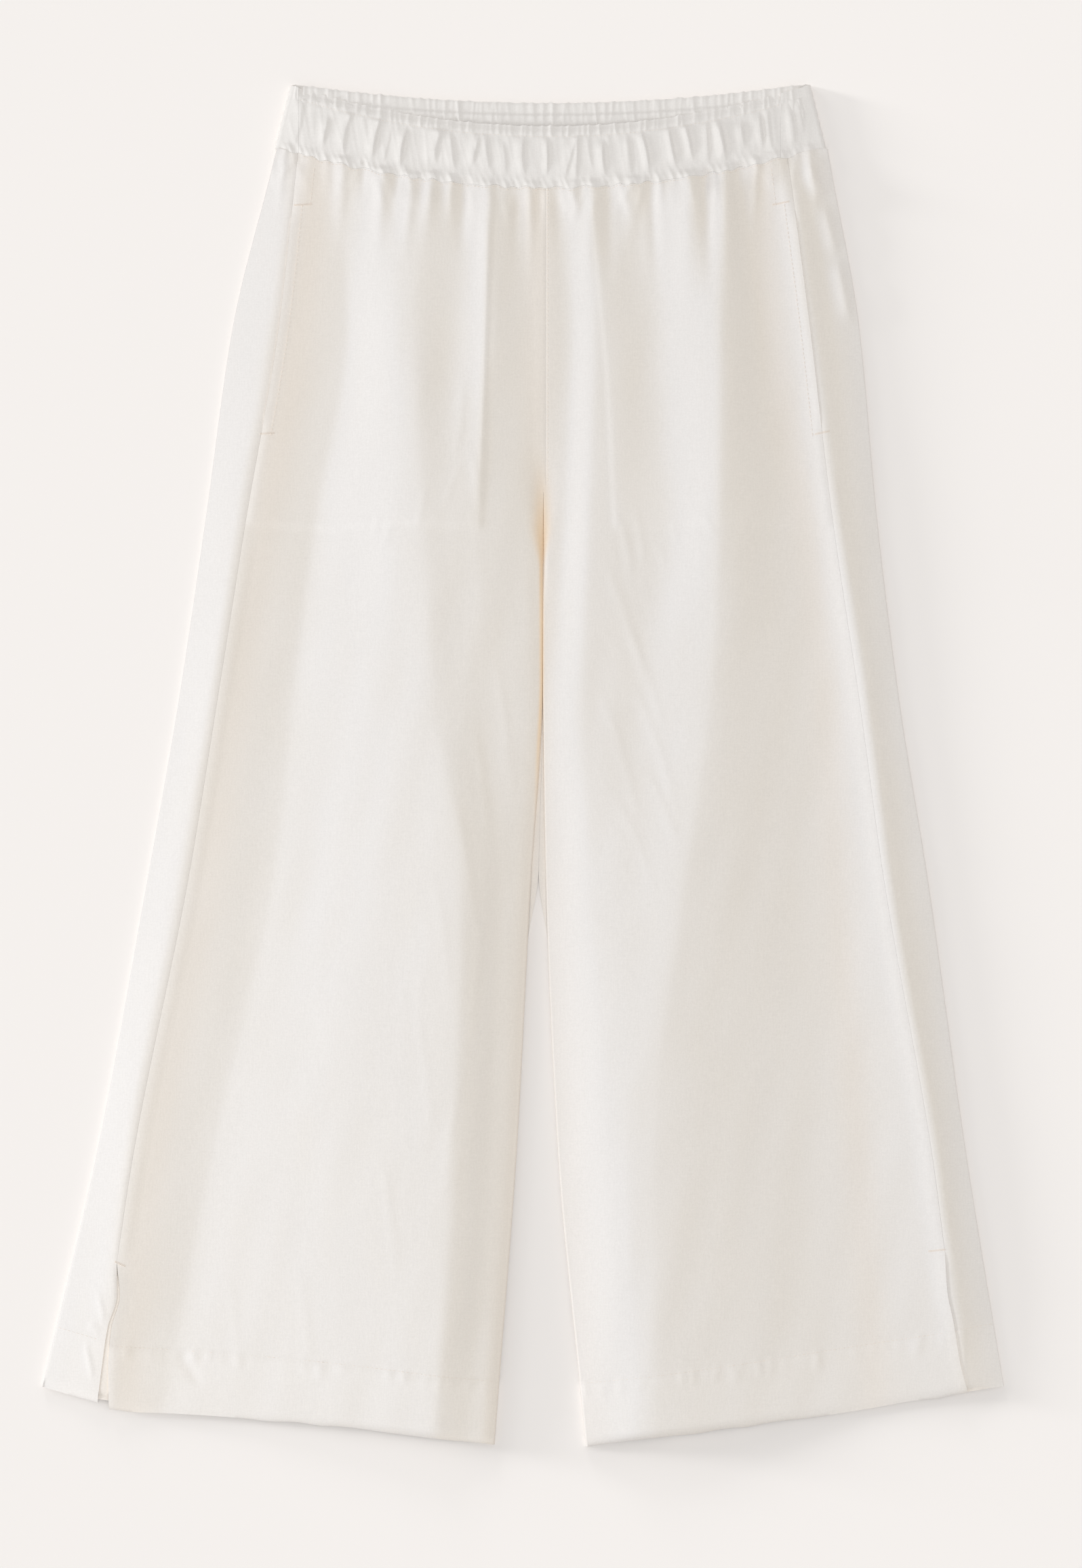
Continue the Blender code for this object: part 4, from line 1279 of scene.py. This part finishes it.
def panel_rows(side):
    """On a front: the hem, the short row above the pocket's mouth, and the mouth itself."""
    sign = SIDES[side]
    edge = float(outseam_x(side, -390.0)) - sign * 2.0
    inner = float(inner_x(side, -405.0)) + sign * 6.0
    x = np.linspace(inner, edge, 160)
    above, beside = np.linspace(396.0, MOUTH[1] + 2, 20), np.linspace(MOUTH[1], MOUTH[0], 90)
    return [on_face(x, hem_y(side, x) + HEM_DEPTH),
            on_face(outseam_x(side, above) - sign * 12.0, above),
            on_face(outseam_x(side, beside) - sign * 6.5, beside, 0.25)]


def wrap_rows(side):
    """On a back: what shows of its hem beyond the slit."""
    sign = SIDES[side]
    x = np.linspace(float(outseam_x(side, -378.0, "back")) + sign * 8.0,
                    float(fold_line(side, "outer edge", -378.0)) - sign * 3.0, 30)
    return [on_face(x, hem_y(side, x, "wrap") + HEM_DEPTH)]


def bartack(x, y, length, turn):
    """Three close rows, length long, turned from the X axis by so many degrees."""
    along = np.linspace(-0.5, 0.5, 8) * length
    ux, uy = math.cos(math.radians(turn)), math.sin(math.radians(turn))
    return [on_face(x + along * ux - off * uy, y + along * uy + off * ux, 0.12)
            for off in (-0.45, 0.0, 0.45)]


# X, Y, length, turn: the two ends of each pocket's mouth, and the top of each slit
BARTACKS = [(-146.5, 373.0, 11.0, 3), (-170.5, 220.5, 8.5, 4), (172.0, 374.0, 10.0, 10),
            (199.5, 221.0, 9.0, 12), (-268.5, -333.0, 6.5, -25), (276.0, -324.0, 10.0, 8)]

for side in SIDES:
    sew("stitches_front_" + side, panel_rows(side), seed=3)
    sew("stitches_back_" + side, wrap_rows(side), seed=5)
y = np.linspace(190.0, 383.0, 100)
sew("stitches_centre", [on_face(16.6 + 0 * y, y)], seed=6)
sew("bartacks", [row for tack in BARTACKS for row in bartack(*tack)],
    pitch=0.7, length=1.5, thickness=0.3, seed=7)
x = np.linspace(BAND_SEAM["right"] + 1.5, BAND_SEAM["left"] - 1.5, 400)
y = casing_grid(x, 1.0, HEADER)
header_row = np.stack([x, y, casing_height(x, y, HEADER + 0 * x) + 0.02], -1)
sew("stitches_casing", [header_row], pitch=2.6, length=1.8, thickness=0.26, seed=8)
sew("stitches_waist_seam", [on_face(x, seam_y(x, 1.0) - 1.3)],
    pitch=2.6, length=2.0, seed=9)

# %% [markdown]
# ## The cut
#
# Each piece is a sheet of cloth. The sizes are those of what shows: the panels as they lie,
# with the little that the folds take up, and the casing's half as gathered.

# %% Sheets
SHEETS = {                                   # width, length, flat area, what it rests on
    "front_right_cloth": (0.285, 0.865, 0.186, ["back_right_cloth"]),
    "front_left_cloth": (0.285, 0.865, 0.186, ["back_left_cloth"]),
    "back_right_cloth": (0.370, 0.870, 0.236, ["table_top"]),
    "back_left_cloth": (0.370, 0.870, 0.236, ["table_top"]),
    "pocket_bag_right_cloth": (0.163, 0.247, 0.0351, ["back_right_cloth"]),
    "pocket_bag_left_cloth": (0.163, 0.247, 0.0343, ["back_left_cloth"]),
    "waistband_front_cloth": (0.345, 0.046, 0.0149, ["waistband_back_cloth"]),
    "waistband_back_cloth": (0.425, 0.046, 0.0182, ["table_top"])}
for name, (width, length, area, below) in SHEETS.items():
    print(name, "flat size", width, "by", length, "m")

# %% [markdown]
# ## Table, light and camera
#
# A pale table under even light from the room and the ceiling. Cloth this thin hardly casts a
# shadow, so three low windows on the left light the table alone and draw the soft shadow
# along the right side and under the hems; a softbox low on the left rakes the cloth alone
# and draws its folds. The camera hangs straight above on a long lens.

# %% Stage
TABLE_HALF = 20.0                           # metres, so that a low view never sees its edge


def stage():
    """The table, which is no part of the garment."""
    mesh = bpy.data.meshes.new("table_top")
    corners = [(i * TABLE_HALF, j * TABLE_HALF, 0) for i, j in ((-1, -1), (1, -1), (1, 1), (-1, 1))]
    mesh.from_pydata(corners, [], [(0, 1, 2, 3)])
    table = bpy.data.objects.new("table_top", mesh)
    material, _, shader = new_material("matt white board")
    shader.inputs["Base Color"].default_value = linear("#F8F4F1")
    shader.inputs["Roughness"].default_value = 1.0
    shader.inputs["Specular IOR Level"].default_value = 0.0
    mesh.materials.append(material)
    bpy.context.scene.collection.objects.link(table)
    return table


def window(name, elevation, turn, spread, energy):
    """Daylight from the left: its height over the table and its turn towards the top."""
    data = bpy.data.lights.new(name, "SUN")
    data.energy, data.angle = energy, math.radians(spread)
    lamp = bpy.data.objects.new(name, data)
    lamp.rotation_euler = (0, -math.radians(90 - elevation), -math.radians(turn))
    return lamp


def softbox(place, size, power, colour):
    """A square lamp that faces the garment."""
    data = bpy.data.lights.new("softbox", "AREA")
    data.energy, data.size, data.color = power, size, colour
    lamp = bpy.data.objects.new("softbox", data)
    lamp.location = place
    lamp.rotation_euler = Vector(place).to_track_quat("Z", "Y").to_euler()
    return lamp


def room_light():
    """The even light of the room, almost white."""
    world = bpy.data.worlds.new("room")
    world.use_nodes = True
    background = world.node_tree.nodes["Background"]
    background.inputs["Color"].default_value = (1.005, 1.0, 0.99, 1.0)
    background.inputs["Strength"].default_value = 0.5
    bpy.context.scene.world = world


def light(table):
    """Every lamp with what it lights: the table alone or the garment alone."""
    lamps = [(window("window", 13, 34, 22, 0.8), [table]),
             (window("window, low", 7, 14, 9, 2.6), [table]),
             (window("window, far wall", 12, 75, 12, 0.6), [table]),
             (window("ceiling over the table", 90, 0, 30, 0.86), [table]),
             (window("ceiling", 90, 0, 30, 0.85), garment),
             (softbox((-1.9, -0.45, 0.64), 0.8, 17.5, (0.96, 1.0, 1.04)), garment)]
    for lamp, lit in lamps:
        bpy.context.scene.collection.objects.link(lamp)
        receivers = bpy.data.collections.new("lit by " + lamp.name)
        for thing in lit:
            receivers.objects.link(thing)
        lamp.light_linking.receiver_collection = receivers
    print(len(lamps), "lamps")


CAMERA_AT = (12.2, -13.1)                  # mm, over the middle of the garment
VIEW_LENGTH = 1045.5                       # mm of cloth from top to bottom of the picture
CAMERA_RISE, CLOTH_RISE = 3.0, 0.008       # metres over the cloth, and the cloth over the table


def camera():
    """A long lens straight above."""
    data = bpy.data.cameras.new("overhead")
    data.sensor_width = 36.0
    data.lens = data.sensor_width * CAMERA_RISE / (VIEW_LENGTH * MM)
    data.clip_end = 2 * TABLE_HALF
    eye = bpy.data.objects.new("overhead", data)
    eye.location = (CAMERA_AT[0] * MM, CAMERA_AT[1] * MM, CAMERA_RISE + CLOTH_RISE)
    bpy.context.scene.collection.objects.link(eye)
    bpy.context.scene.camera = eye


light(stage())
room_light()
camera()
bpy.context.scene.view_settings.view_transform = "Standard"
print(len(garment), "pieces of cloth and thread")
